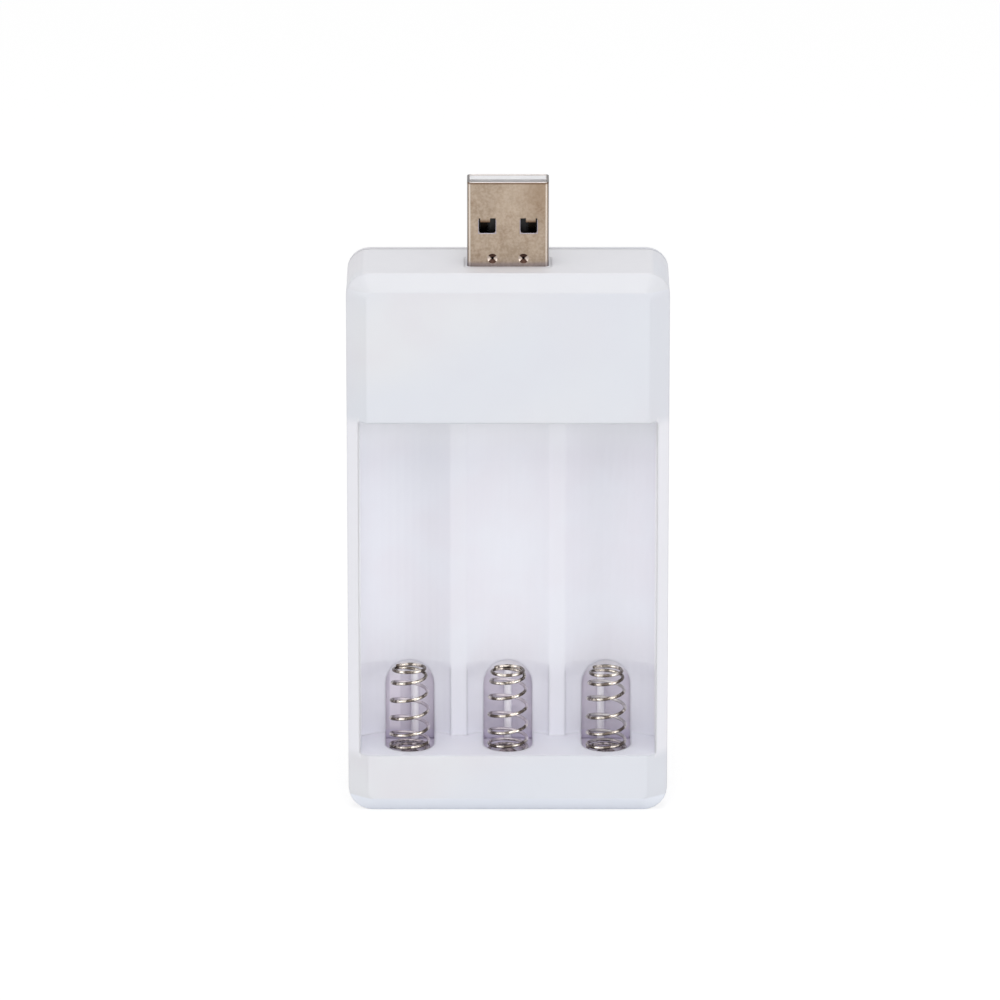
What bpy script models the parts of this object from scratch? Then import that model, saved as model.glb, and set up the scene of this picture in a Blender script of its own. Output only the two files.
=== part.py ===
# AA battery charger: a slim stick with a USB plug on top and three open battery bays.
# It stands upright on Z = 0 with its bays facing -Y, in metres, +Z up.
# A depth is counted from the front face toward the back.

import math

import bmesh
import bpy

MM = 0.001

# Housing
BODY_WIDTH = 47.5 * MM
BODY_DEPTH = 17.0 * MM
BODY_HEIGHT = 83.4 * MM
HEAD_HEIGHT = 22.4 * MM
FOOT_HEIGHT = 9.3 * MM
WALL = 1.75 * MM
FLOOR_WALL = 1.6 * MM
END_WALL = 1.4 * MM
PARTITION_WALL = 1.5 * MM
HOOD_REACH = 3.8 * MM
SIDE_CHAMFER = 2.9 * MM
END_CHAMFER = 2.4 * MM
CHAMFER_DEPTH = 2.35 * MM
TOP_CORNER = 3.3 * MM
BOTTOM_CORNER = 3.6 * MM
FACE_CORNER = 1.0 * MM

# Rear cover
COVER_WALL = 1.7 * MM
COVER_EDGE = 1.0 * MM
LIP_WALL = 1.2 * MM
LIP_DEPTH = 1.3 * MM

# Battery bays
BAY_COUNT = 3
REAR_ROOM = 8.0 * MM
RIDGE_WIDTH = 2.5 * MM
GROOVE_SAG = 1.65 * MM
WELL_HEIGHT = 8.2 * MM
WELL_SLOPE = 4.6 * MM
WELL_DROP = 0.5 * MM
WELL_RUNOUT = 0.12 * MM
CHANNEL_WIDTH = 7.3 * MM
CHANNEL_HEIGHT = 11.4 * MM
CHANNEL_DROP = 1.2 * MM
CHANNEL_WALL = 1.2 * MM
RIB_WIDTH = 1.1 * MM
RIB_HEIGHT = 9.8 * MM
RIB_RISE = 0.9 * MM
RIB_OFFSET = 0.75 * MM

# Contact springs
SPRING_DIAMETER = 5.9 * MM
SPRING_TIP_DIAMETER = 5.0 * MM
SPRING_WIRE = 0.5 * MM
SPRING_LENGTH = 13.3 * MM
SPRING_TURNS = 7.4
END_PITCH = 0.55 * MM
BASE_EASING = 3.0
TIP_EASING = 2.4
NARROWING = 3.8

# Negative bus under the springs
BUS_SHEET = 0.4 * MM
BUS_STUD_DIAMETER = 3.0 * MM
BUS_STUD_HEIGHT = 0.7 * MM
BUS_TAB_WIDTH = 3.0 * MM
BUS_TAB_HEIGHT = 3.2 * MM

# Positive contacts above the bays
CONTACT_WIDTH = 9.0 * MM
CONTACT_SHEET = 0.4 * MM
CONTACT_LEG_WIDTH = 3.0 * MM
CONTACT_FOOT_LENGTH = 1.5 * MM
DIMPLE_SHARE = 0.64
DIMPLE_HEIGHT = 0.7 * MM

# USB plug
PLUG_WIDTH = 12.0 * MM
PLUG_THICKNESS = 4.5 * MM
PLUG_LENGTH = 18.8 * MM
PLUG_REACH = 12.8 * MM
PLUG_REAR_ROOM = 8.85 * MM
PLUG_SHEET = 0.3 * MM
PLUG_CORNER = 0.65 * MM
PLUG_SEAM = 0.15 * MM
WINDOW_WIDTH = 2.45 * MM
WINDOW_HEIGHT = 2.25 * MM
WINDOW_SPACING = 6.1 * MM
WINDOW_DROP = 6.6 * MM
WINDOW_TAB_WIDTH = 1.45 * MM
WINDOW_TAB_HEIGHT = 0.6 * MM
WINDOW_TAB_INSET = 0.2 * MM
WINDOW_CORNER = 0.35 * MM
PUNCH_DIAMETER = 1.45 * MM
PUNCH_HOLE = 0.35 * MM
PUNCH_SPACING = 4.56 * MM
PUNCH_DROP = 11.6 * MM
PLUG_LEG_WIDTH = 1.6 * MM
TONGUE_THICKNESS = 1.7 * MM
TONGUE_BLOCK = 4.4 * MM
TONGUE_RECESS = 0.1 * MM
PIN_WIDTH = 1.0 * MM
PIN_SHEET = 0.25 * MM
PIN_OUTER_SPACING = 7.0 * MM
PIN_INNER_SPACING = 2.0 * MM
PIN_OUTER_RECESS = 1.2 * MM
PIN_INNER_RECESS = 2.2 * MM
PIN_FOOT_LENGTH = 1.4 * MM

# Circuit board and what is soldered to it
BOARD_SHEET = 1.6 * MM
BOARD_TOP_CLEARANCE = 1.1 * MM
CHIP_LENGTH = 4.9 * MM
CHIP_WIDTH = 3.9 * MM
CHIP_HEIGHT = 1.5 * MM
CHIP_LEADS = 4
CHIP_LEAD_PITCH = 1.27 * MM
CHIP_LEAD_WIDTH = 0.45 * MM
CHIP_LEAD_REACH = 1.0 * MM
CHIP_DROP = 11.3 * MM
CAN_DIAMETER = 5.0 * MM
CAN_HEIGHT = 5.2 * MM
CAN_DROP = 7.0 * MM
DIODE_LENGTH = 4.2 * MM
DIODE_WIDTH = 2.5 * MM
DIODE_HEIGHT = 2.1 * MM
DIODE_BAY_SHARES = (-0.85, -0.5, 0.5)
DIODE_DROP = 12.0 * MM
RESISTOR_LENGTH = 3.2 * MM
RESISTOR_WIDTH = 1.6 * MM
RESISTOR_HEIGHT = 0.6 * MM
RESISTOR_COUNT = 3
RESISTOR_PITCH = 2.2 * MM
RESISTOR_DROP = 7.2 * MM

# Screws, bosses, stiffening ribs and the ground wire
SCREW_DIAMETER = 1.7 * MM
SCREW_HEAD_DIAMETER = 3.2 * MM
SCREW_HEAD_HEIGHT = 1.2 * MM
SCREW_SINK = 0.9 * MM
SCREW_LENGTH = 8.0 * MM
SCREW_SLOT_WIDTH = 0.5 * MM
SCREW_SLOT_DEPTH = 0.7 * MM
SLEEVE_WALL = 0.7 * MM
BOSS_WALL = 0.9 * MM
HEAD_SCREW_INSET = 3.75 * MM
HEAD_SCREW_DROP = 9.4 * MM
STIFFENER = 1.0 * MM
WIRE_DIAMETER = 1.2 * MM
WIRE_SWAY = 5.0 * MM

# Fit
GAP = 0.3 * MM
OVERCUT = 1.0 * MM
ARC_STEPS = 6

# Places worked out from the sizes above
FRONT = -BODY_DEPTH / 2
HALF_WIDTH = BODY_WIDTH / 2
INNER_HALF = HALF_WIDTH - WALL
HEAD_LOW = BODY_HEIGHT - HEAD_HEIGHT
BAY_TOP = HEAD_LOW + HOOD_REACH
BAY_PITCH = 2 * INNER_HALF / BAY_COUNT
HEAD_CAVITY_LOW = BAY_TOP + PARTITION_WALL
INNER_TOP = BODY_HEIGHT - WALL
RIDGE_DEPTH = BODY_DEPTH - REAR_ROOM
GROOVE_DEPTH = RIDGE_DEPTH + GROOVE_SAG
GROOVE_HALF = (BAY_PITCH - RIDGE_WIDTH) / 2
GROOVE_RADIUS = (GROOVE_HALF**2 + GROOVE_SAG**2) / (2 * GROOVE_SAG)
CHANNEL_DEPTH = GROOVE_DEPTH + CHANNEL_DROP
CHANNEL_BACK = CHANNEL_DEPTH + CHANNEL_WALL
RIB_NOSE = CHANNEL_DEPTH - RIB_RISE
SPRING_AXIS_DEPTH = RIB_NOSE / 2
COVER_FRONT = BODY_DEPTH - COVER_WALL
SHELL_BACK = COVER_FRONT - GAP
BUS_TOP = FOOT_HEIGHT - END_WALL - GAP
SPRING_BASE = BUS_TOP + GAP
SOCKET_LOW = BUS_TOP + GAP / 2
PLUG_TIP = BODY_HEIGHT + PLUG_REACH
PLUG_ROOT = PLUG_TIP - PLUG_LENGTH
PLUG_AXIS_DEPTH = BODY_DEPTH - PLUG_REAR_ROOM
PLUG_BACK = PLUG_AXIS_DEPTH + PLUG_THICKNESS / 2
BOARD_FRONT = PLUG_BACK + GAP
BOARD_BACK = BOARD_FRONT + BOARD_SHEET
BOARD_TOP = INNER_TOP - BOARD_TOP_CLEARANCE
BOARD_LOW = HEAD_CAVITY_LOW + GAP
PART_BACK = BOARD_FRONT - GAP
SCREW_BORE = SCREW_DIAMETER / 2 + GAP
SCREW_SEAT = BODY_DEPTH - SCREW_SINK - SCREW_HEAD_HEIGHT
BOSS_RADIUS = SCREW_BORE + BOSS_WALL
SLEEVE_RADIUS = SCREW_HEAD_DIAMETER / 2 + GAP + SLEEVE_WALL
CLAMP_DEPTH = BOARD_BACK + GAP
FOOT_SCREW_Z = WALL + GAP + SLEEVE_RADIUS
HEAD_SCREW_X = INNER_HALF - HEAD_SCREW_INSET
PART_OFFSET = (PLUG_WIDTH / 2 + HEAD_SCREW_X - BOSS_RADIUS) / 2
CONTACT_FRONT = WALL + 2 * GAP
CONTACT_BACK = RIDGE_DEPTH - CONTACT_SHEET


def bay_positions(pitch=BAY_PITCH):
    return [(i - (BAY_COUNT - 1) / 2) * pitch for i in range(BAY_COUNT)]


def screw_positions():
    head_z = BODY_HEIGHT - HEAD_SCREW_DROP
    foot_x = BAY_PITCH / 2
    return [
        (-HEAD_SCREW_X, head_z),
        (HEAD_SCREW_X, head_z),
        (-foot_x, FOOT_SCREW_Z),
        (foot_x, FOOT_SCREW_Z),
    ]


def arc(cx, cy, radius, start, end, steps=ARC_STEPS):
    """Points on an arc, its angles in degrees, both ends included."""
    angles = [math.radians(start + (end - start) * i / steps) for i in range(steps + 1)]
    return [(cx + radius * math.cos(a), cy + radius * math.sin(a)) for a in angles]


# Objects, materials and meshes

def material(name, colour, roughness, metallic=0.0):
    found = bpy.data.materials.get(name)
    if found:
        return found
    made = bpy.data.materials.new(name)
    made.use_nodes = True
    shader = made.node_tree.nodes["Principled BSDF"]
    shader.inputs["Base Color"].default_value = (*colour, 1.0)
    shader.inputs["Roughness"].default_value = roughness
    shader.inputs["Metallic"].default_value = metallic
    made.diffuse_color = (*colour, 1.0)
    return made


def white_plastic():
    return material("white_plastic", (0.80, 0.81, 0.85), 0.42)


def plug_steel():
    return material("plug_steel", (0.50, 0.42, 0.34), 0.38, 1.0)


def nickel():
    return material("nickel", (0.62, 0.57, 0.52), 0.28, 1.0)


def gold():
    return material("gold_plate", (0.78, 0.58, 0.26), 0.3, 1.0)


def steel():
    return material("screw_steel", (0.42, 0.42, 0.44), 0.35, 1.0)


def board_green():
    return material("board_green", (0.03, 0.20, 0.09), 0.5)


def black_resin():
    return material("black_resin", (0.03, 0.03, 0.035), 0.5)


def aluminium():
    return material("can_aluminium", (0.70, 0.71, 0.73), 0.3, 1.0)


def tongue_plastic():
    return material("tongue_plastic", (0.85, 0.85, 0.88), 0.45)


def wire_sleeve():
    return material("wire_sleeve", (0.03, 0.03, 0.03), 0.45)


def object_from(name, bm, surface=None, smooth_angle=None):
    bmesh.ops.recalc_face_normals(bm, faces=bm.faces)
    mesh = bpy.data.meshes.new(name)
    bm.to_mesh(mesh)
    bm.free()
    if smooth_angle:
        mesh.shade_smooth()
        mesh.set_sharp_from_angle(angle=math.radians(smooth_angle))
    obj = bpy.data.objects.new(name, mesh)
    bpy.context.scene.collection.objects.link(obj)
    if surface:
        mesh.materials.append(surface)
    return obj


def add_loft(bm, rings):
    """A closed solid through rings that have equal numbers of points."""
    loops = [[bm.verts.new(p) for p in ring] for ring in rings]
    count = len(rings[0])
    for low, high in zip(loops, loops[1:]):
        for i in range(count):
            j = (i + 1) % count
            bm.faces.new((low[i], low[j], high[j], high[i]))
    bm.faces.new(list(reversed(loops[0])))
    bm.faces.new(loops[-1])


def front_ring(points, depth):
    """Points of an X-Z outline set at one depth."""
    return [(x, FRONT + depth, z) for x, z in points]


def level_ring(points, z):
    """Points of an X-depth outline set at one height."""
    return [(x, FRONT + depth, z) for x, depth in points]


def side_ring(points, x):
    """Points of a depth-Z outline set at one width."""
    return [(x, FRONT + depth, z) for depth, z in points]


def add_box(bm, x, depth, z):
    """A box between the ends of three ranges."""
    corners = [(x[0], z[0]), (x[1], z[0]), (x[1], z[1]), (x[0], z[1])]
    add_loft(bm, [front_ring(corners, depth[0]), front_ring(corners, depth[1])])


def add_front_cylinder(bm, x, z, radius, depth, steps=16):
    """A cylinder whose axis runs from front to back."""
    circle = arc(x, z, radius, 0, 360, steps)[:-1]
    add_loft(bm, [front_ring(circle, depth[0]), front_ring(circle, depth[1])])


def box_object(name, x, depth, z, surface=None):
    bm = bmesh.new()
    add_box(bm, x, depth, z)
    return object_from(name, bm, surface)


def combine(target, tool, operation):
    """Adds or removes a tool body, which stays in the file as a wire guide."""
    step = target.modifiers.new(tool.name, "BOOLEAN")
    step.operation = operation
    step.solver = "EXACT"
    step.object = tool
    tool.display_type = "WIRE"
    tool.hide_render = True
    return target


def cut(target, tool):
    return combine(target, tool, "DIFFERENCE")


def join(target, tool):
    return combine(target, tool, "UNION")


# Outlines of the housing

def body_outline(side_inset=0.0, end_inset=0.0, top=TOP_CORNER, bottom=BOTTOM_CORNER):
    """The housing seen from the front, with round corners."""
    half = HALF_WIDTH - side_inset
    low = end_inset
    high = BODY_HEIGHT - end_inset
    points = arc(half - bottom, low + bottom, bottom, -90, 0)
    points += arc(half - top, high - top, top, 0, 90)
    points += arc(-half + top, high - top, top, 90, 180)
    points += arc(-half + bottom, low + bottom, bottom, 180, 270)
    return points


def groove_arc(centre, left, right, sink=0.0, facets=2 * ARC_STEPS):
    """One bay's groove between two widths, lowered by sink."""
    radius = GROOVE_RADIUS + sink
    start = math.degrees(math.acos((left - centre) / radius))
    end = math.degrees(math.acos((right - centre) / radius))
    return arc(centre, GROOVE_DEPTH - GROOVE_RADIUS, radius, start, end, facets)


def bay_limits(centre):
    """How far a bay's groove reaches to each side: to a ridge or to the side wall."""
    bays = bay_positions()
    left = -INNER_HALF if centre == bays[0] else centre - GROOVE_HALF
    right = INNER_HALF if centre == bays[-1] else centre + GROOVE_HALF
    return left, right


def floor_profile(sink=0.0):
    """The tray floor across all bays, from left to right, as X and depth."""
    points = []
    for centre in bay_positions():
        left, right = bay_limits(centre)
        points += groove_arc(centre, left, right, sink)
    return points


def channel_outline(width, height, foot):
    """The round-topped channel behind one spring, as X and Z about its bay."""
    half = width / 2
    crown = FOOT_HEIGHT + height - half
    return [(-half, foot), (half, foot)] + arc(0, crown, half, 0, 180, 2 * ARC_STEPS)


def shift(points, dx):
    return [(x + dx, other) for x, other in points]


# The front shell: head, tray and foot in one moulding

def shell_block():
    bm = bmesh.new()
    front = body_outline(SIDE_CHAMFER, END_CHAMFER, FACE_CORNER, FACE_CORNER)
    full = body_outline()
    add_loft(bm, [
        front_ring(front, 0),
        front_ring(full, CHAMFER_DEPTH),
        front_ring(full, SHELL_BACK),
    ])
    return object_from("front_shell", bm, white_plastic())


def inner_chamfer(width):
    """Width and depth of the chamfer inside the wall that keeps it as thick as elsewhere."""
    slope = 1 + WALL * math.hypot(1 / width, 1 / CHAMFER_DEPTH)
    inner_width = width * (slope - WALL / CHAMFER_DEPTH) - WALL
    inner_depth = CHAMFER_DEPTH * (slope - WALL / width) - WALL
    return inner_width, inner_depth


def end_cavity(name, inner_end, outer_end):
    """A space inside the head or the foot, chamfered like the outside at its three outer edges."""
    side_width, depth = inner_chamfer(SIDE_CHAMFER)
    end_width, _ = inner_chamfer(END_CHAMFER)
    end_width = math.copysign(end_width, inner_end - outer_end)
    half = INNER_HALF
    front = [(-half + side_width, inner_end), (half - side_width, inner_end),
             (half - side_width, outer_end + end_width), (-half + side_width, outer_end + end_width)]
    full = [(-half, inner_end), (half, inner_end), (half, outer_end), (-half, outer_end)]
    bm = bmesh.new()
    add_loft(bm, [
        front_ring(front, WALL),
        front_ring(full, WALL + depth),
        front_ring(full, BODY_DEPTH),
    ])
    return object_from(name, bm)


def head_cavity():
    return end_cavity("cut_head_cavity", HEAD_CAVITY_LOW, INNER_TOP)


def foot_cavity():
    return end_cavity("cut_foot_cavity", FOOT_HEIGHT - END_WALL, WALL)


def wiring_cavity():
    """The space behind the tray floor, whose front follows the floor at an even wall."""
    points = floor_profile(FLOOR_WALL)
    points += [(INNER_HALF, BODY_DEPTH), (-INNER_HALF, BODY_DEPTH)]
    bm = bmesh.new()
    low = FOOT_HEIGHT - END_WALL - OVERCUT
    high = HEAD_CAVITY_LOW + OVERCUT
    add_loft(bm, [level_ring(points, low), level_ring(points, high)])
    return object_from("cut_wiring_cavity", bm)


def channel_backs():
    """The thick spots behind the spring channels."""
    bm = bmesh.new()
    width = CHANNEL_WIDTH + 2 * CHANNEL_WALL
    outline = channel_outline(width, CHANNEL_HEIGHT + CHANNEL_WALL, FOOT_HEIGHT - END_WALL)
    for centre in bay_positions():
        points = shift(outline, centre)
        add_loft(bm, [front_ring(points, RIDGE_DEPTH), front_ring(points, CHANNEL_BACK)])
    return object_from("keep_channel_backs", bm)


def tray():
    points = floor_profile()
    points += [(INNER_HALF, -OVERCUT), (-INNER_HALF, -OVERCUT)]
    bm = bmesh.new()
    add_loft(bm, [level_ring(points, FOOT_HEIGHT), level_ring(points, HEAD_LOW)])
    return object_from("cut_tray", bm)


def hood_pocket():
    """The tray goes on up behind the head's front wall to the positive contacts."""
    points = floor_profile()
    points += [(INNER_HALF, WALL), (-INNER_HALF, WALL)]
    bm = bmesh.new()
    add_loft(bm, [level_ring(points, HEAD_LOW - OVERCUT), level_ring(points, BAY_TOP)])
    return object_from("cut_hood_pocket", bm)


def spring_wells():
    """The floor is stepped down beside the springs, and eases back up above them."""
    bm = bmesh.new()
    steps = 5
    facets = 2 * ARC_STEPS - 1
    top = FOOT_HEIGHT + WELL_HEIGHT
    for centre in bay_positions():
        left, right = bay_limits(centre)
        ends = [(right, SPRING_AXIS_DEPTH), (left, SPRING_AXIS_DEPTH)]
        low = groove_arc(centre, left, right, WELL_DROP, facets)
        rings = [level_ring(low + ends, FOOT_HEIGHT)]
        for i in range(steps + 1):
            share = i / steps
            sink = WELL_DROP - (WELL_DROP + WELL_RUNOUT) * share * share * (3 - 2 * share)
            points = groove_arc(centre, left, right, sink, facets)
            rings.append(level_ring(points + ends, top + WELL_SLOPE * share))
        add_loft(bm, rings)
    return object_from("cut_spring_wells", bm)


def spring_channels():
    bm = bmesh.new()
    outline = channel_outline(CHANNEL_WIDTH, CHANNEL_HEIGHT, SOCKET_LOW)
    for centre in bay_positions():
        points = shift(outline, centre)
        add_loft(bm, [front_ring(points, SPRING_AXIS_DEPTH), front_ring(points, CHANNEL_DEPTH)])
    return object_from("cut_spring_channels", bm, smooth_angle=40)


def spring_sockets():
    """U-shaped holes through the foot's top wall, down to the negative bus."""
    half = CHANNEL_WIDTH / 2
    outline = arc(0, SPRING_AXIS_DEPTH, half, 180, 360, 2 * ARC_STEPS)
    outline += [(half, CHANNEL_DEPTH), (-half, CHANNEL_DEPTH)]
    high = FOOT_HEIGHT + OVERCUT
    bm = bmesh.new()
    for centre in bay_positions():
        points = shift(outline, centre)
        add_loft(bm, [level_ring(points, SOCKET_LOW), level_ring(points, high)])
    return object_from("cut_spring_sockets", bm, smooth_angle=40)


def channel_ribs():
    """A slim upright rib in each channel, with a round front and a round top."""
    half = RIB_WIDTH / 2
    nose = RIB_NOSE + half
    outline = arc(0, nose, half, 180, 360, ARC_STEPS)
    outline += [(half, CHANNEL_BACK - GAP), (-half, CHANNEL_BACK - GAP)]
    low = FOOT_HEIGHT - END_WALL
    bm = bmesh.new()
    for centre in bay_positions(BAY_PITCH - RIB_OFFSET):
        points = shift(outline, centre)
        add_loft(bm, [level_ring(points, low), level_ring(points, FOOT_HEIGHT + RIB_HEIGHT)])
    return object_from("add_channel_ribs", bm)


def plug_slot():
    half = PLUG_WIDTH / 2 + GAP
    reach = PLUG_THICKNESS / 2 + GAP
    return box_object("cut_plug_slot", (-half, half),
                      (PLUG_AXIS_DEPTH - reach, PLUG_AXIS_DEPTH + reach),
                      (INNER_TOP - OVERCUT, BODY_HEIGHT + OVERCUT))


def plug_ribs():
    """Two ribs under the top wall that hold the plug from the front."""
    front = PLUG_AXIS_DEPTH - PLUG_THICKNESS / 2 - GAP
    bm = bmesh.new()
    for side in (-1, 1):
        x = side * PLUG_WIDTH / 4
        add_box(bm, (x - STIFFENER / 2, x + STIFFENER / 2), (0, front),
                (PLUG_ROOT, BODY_HEIGHT))
    return object_from("keep_plug_ribs", bm)


def contact_slots():
    """Slots in the partition above the bays, for the legs of the positive contacts."""
    half = CONTACT_LEG_WIDTH / 2 + GAP
    back = CONTACT_BACK + GAP
    bm = bmesh.new()
    for centre in bay_positions():
        add_box(bm, (centre - half, centre + half), (back - CONTACT_SHEET - 2 * GAP, back),
                (BAY_TOP - OVERCUT, HEAD_CAVITY_LOW + OVERCUT))
    return object_from("cut_contact_slots", bm)


def bosses():
    """Screw bosses: those of the head end at the board, those of the foot at the cover."""
    bm = bmesh.new()
    for x, z in screw_positions():
        end = PART_BACK if z > HEAD_LOW else BOARD_BACK
        add_front_cylinder(bm, x, z, BOSS_RADIUS, (0, end))
    return object_from("keep_bosses", bm, smooth_angle=40)


def boss_webs():
    """Webs that tie each boss to the nearest outer wall."""
    bm = bmesh.new()
    half = STIFFENER / 2
    for x, z in screw_positions():
        if z > HEAD_LOW:
            wall = math.copysign(HALF_WIDTH, x)
            add_box(bm, sorted((x, wall)), (0, PART_BACK - GAP), (z - half, z + half))
        else:
            add_box(bm, (x - half, x + half), (0, BOARD_BACK - GAP), (0, z))
    return object_from("keep_boss_webs", bm)


def screw_holes():
    bm = bmesh.new()
    for x, z in screw_positions():
        add_front_cylinder(bm, x, z, SCREW_BORE,
                           (SCREW_SEAT + GAP - SCREW_LENGTH - GAP, BODY_DEPTH), 12)
    return object_from("cut_screw_holes", bm, smooth_angle=40)


def bus_ribs():
    """Ribs in the foot that carry the negative bus from below."""
    bm = bmesh.new()
    top = BUS_TOP - BUS_SHEET - GAP
    for centre in bay_positions():
        add_box(bm, (centre - STIFFENER / 2, centre + STIFFENER / 2), (0, BOARD_BACK), (0, top))
    return object_from("keep_bus_ribs", bm)


def inside():
    """All the hollow behind the outer walls, less the ribs and bosses that stay standing in it."""
    hollow = head_cavity()
    join(hollow, foot_cavity())
    join(hollow, wiring_cavity())
    for standing in (channel_backs(), plug_ribs(), bosses(), boss_webs(), bus_ribs()):
        cut(hollow, standing)
    return hollow


def build_front_shell():
    shell = cut(shell_block(), inside())
    for opening in (tray(), hood_pocket(), spring_wells(), spring_channels(), spring_sockets()):
        cut(shell, opening)
    join(shell, channel_ribs())
    for opening in (plug_slot(), contact_slots(), screw_holes()):
        cut(shell, opening)
    return shell


# The rear cover, its lip, screw sleeves and board clamps

def cover_plate():
    bm = bmesh.new()
    rings = [front_ring(body_outline(), COVER_FRONT)]
    for i in range(ARC_STEPS + 1):
        turn = math.radians(90 * i / ARC_STEPS)
        inset = COVER_EDGE * (1 - math.cos(turn))
        depth = BODY_DEPTH - COVER_EDGE * (1 - math.sin(turn))
        rings.append(front_ring(body_outline(inset, inset), depth))
    add_loft(bm, rings)
    return object_from("rear_cover", bm, white_plastic(), smooth_angle=35)


def cover_lip():
    """A frame that locates the cover inside the shell's walls."""
    bm = bmesh.new()
    half = INNER_HALF - GAP
    low = WALL + GAP
    high = INNER_TOP - GAP
    depth = (COVER_FRONT - LIP_DEPTH, COVER_FRONT + COVER_WALL / 2)
    add_box(bm, (-half, half), depth, (low, high))
    return object_from("add_cover_lip", bm)


def cover_lip_inside():
    half = INNER_HALF - GAP - LIP_WALL
    depth = (COVER_FRONT - LIP_DEPTH - OVERCUT, COVER_FRONT)
    return box_object("cut_cover_lip_inside", (-half, half), depth,
                      (WALL + GAP + LIP_WALL, INNER_TOP - GAP - LIP_WALL))


def sleeves():
    bm = bmesh.new()
    for x, z in screw_positions():
        add_front_cylinder(bm, x, z, SLEEVE_RADIUS,
                           (CLAMP_DEPTH, COVER_FRONT + COVER_WALL / 2))
    return object_from("add_sleeves", bm, smooth_angle=40)


def sleeve_holes():
    """Each sleeve has a wide sink for the screw's head and a narrow hole for its shank."""
    bm = bmesh.new()
    for x, z in screw_positions():
        wide = arc(x, z, SCREW_HEAD_DIAMETER / 2 + GAP, 0, 360, 16)[:-1]
        narrow = arc(x, z, SCREW_BORE, 0, 360, 16)[:-1]
        seat = SCREW_SEAT - GAP
        add_loft(bm, [
            front_ring(narrow, CLAMP_DEPTH - OVERCUT),
            front_ring(narrow, seat),
            front_ring(wide, seat),
            front_ring(wide, BODY_DEPTH + OVERCUT),
        ])
    return object_from("cut_sleeve_holes", bm, smooth_angle=40)


def board_clamps():
    """Two ribs that press the board home when the cover closes."""
    bm = bmesh.new()
    for side in (-1, 1):
        x = side * PLUG_WIDTH * 0.75
        add_box(bm, (x - STIFFENER / 2, x + STIFFENER / 2),
                (CLAMP_DEPTH, COVER_FRONT + COVER_WALL / 2),
                (BOARD_LOW + LIP_WALL, BOARD_TOP - LIP_WALL))
    return object_from("add_board_clamps", bm)


def build_rear_cover():
    cover = cover_plate()
    join(cover, cover_lip())
    cut(cover, cover_lip_inside())
    join(cover, sleeves())
    join(cover, board_clamps())
    cut(cover, sleeve_holes())
    return cover


def screw_mesh():
    """A pan head screw along +Y, its head's underside at the origin, turned as a lathe would."""
    shank = SCREW_DIAMETER / 2
    head = SCREW_HEAD_DIAMETER / 2
    rim = SCREW_HEAD_HEIGHT / 3
    profile = [(0, -SCREW_LENGTH), (shank * 0.5, -SCREW_LENGTH), (shank, -SCREW_LENGTH + shank)]
    profile += [(shank, 0), (head, 0), (head, rim)]
    profile += [(head * 0.85, SCREW_HEAD_HEIGHT * 0.8), (head * 0.6, SCREW_HEAD_HEIGHT)]
    profile += [(0, SCREW_HEAD_HEIGHT)]
    steps = 16
    bm = bmesh.new()
    rings = []
    for radius, y in profile:
        circle = arc(0, 0, radius, 0, 360, steps)[:-1] if radius else [(0, 0)]
        rings.append([bm.verts.new((x, y, z)) for x, z in circle])
    for low, high in zip(rings, rings[1:]):
        for i in range(steps):
            j = (i + 1) % steps
            corners = [low[i % len(low)], low[j % len(low)], high[j % len(high)], high[i % len(high)]]
            bm.faces.new(list(dict.fromkeys(corners)))
    return object_from("screw_pattern", bm, steel(), 40)


def cross_slot(name, location):
    bm = bmesh.new()
    half = SCREW_SLOT_WIDTH / 2
    reach = SCREW_HEAD_DIAMETER * 0.28
    cross = [(half, half), (half, reach), (-half, reach), (-half, half), (-reach, half),
             (-reach, -half), (-half, -half), (-half, -reach), (half, -reach),
             (half, -half), (reach, -half), (reach, half)]
    depths = (SCREW_HEAD_HEIGHT - SCREW_SLOT_DEPTH, SCREW_HEAD_HEIGHT + OVERCUT)
    add_loft(bm, [[(x, y, z) for x, z in cross] for y in depths])
    slot = object_from(name, bm)
    slot.location = location
    return slot


def build_screws():
    pattern = screw_mesh()
    for i, (x, z) in enumerate(screw_positions(), start=1):
        screw = bpy.data.objects.new(f"screw_{i}", pattern.data)
        screw.location = (x, FRONT + SCREW_SEAT, z)
        bpy.context.scene.collection.objects.link(screw)
        cut(screw, cross_slot(f"cut_screw_slot_{i}", screw.location))
    bpy.data.objects.remove(pattern)


# The USB plug: folded shell, insulator and four pins

def plug_outline(inset=0.0):
    half = PLUG_WIDTH / 2 - inset
    reach = PLUG_THICKNESS / 2 - inset
    corner = PLUG_CORNER - inset
    mid = PLUG_AXIS_DEPTH
    points = arc(half - corner, mid - reach + corner, corner, -90, 0, 4)
    points += arc(half - corner, mid + reach - corner, corner, 0, 90, 4)
    points += arc(-half + corner, mid + reach - corner, corner, 90, 180, 4)
    points += arc(-half + corner, mid - reach + corner, corner, 180, 270, 4)
    return points


def plug_inside():
    bm = bmesh.new()
    points = plug_outline(PLUG_SHEET)
    add_loft(bm, [level_ring(points, PLUG_ROOT - OVERCUT), level_ring(points, PLUG_TIP + OVERCUT)])
    return object_from("cut_plug_inside", bm)


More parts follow.
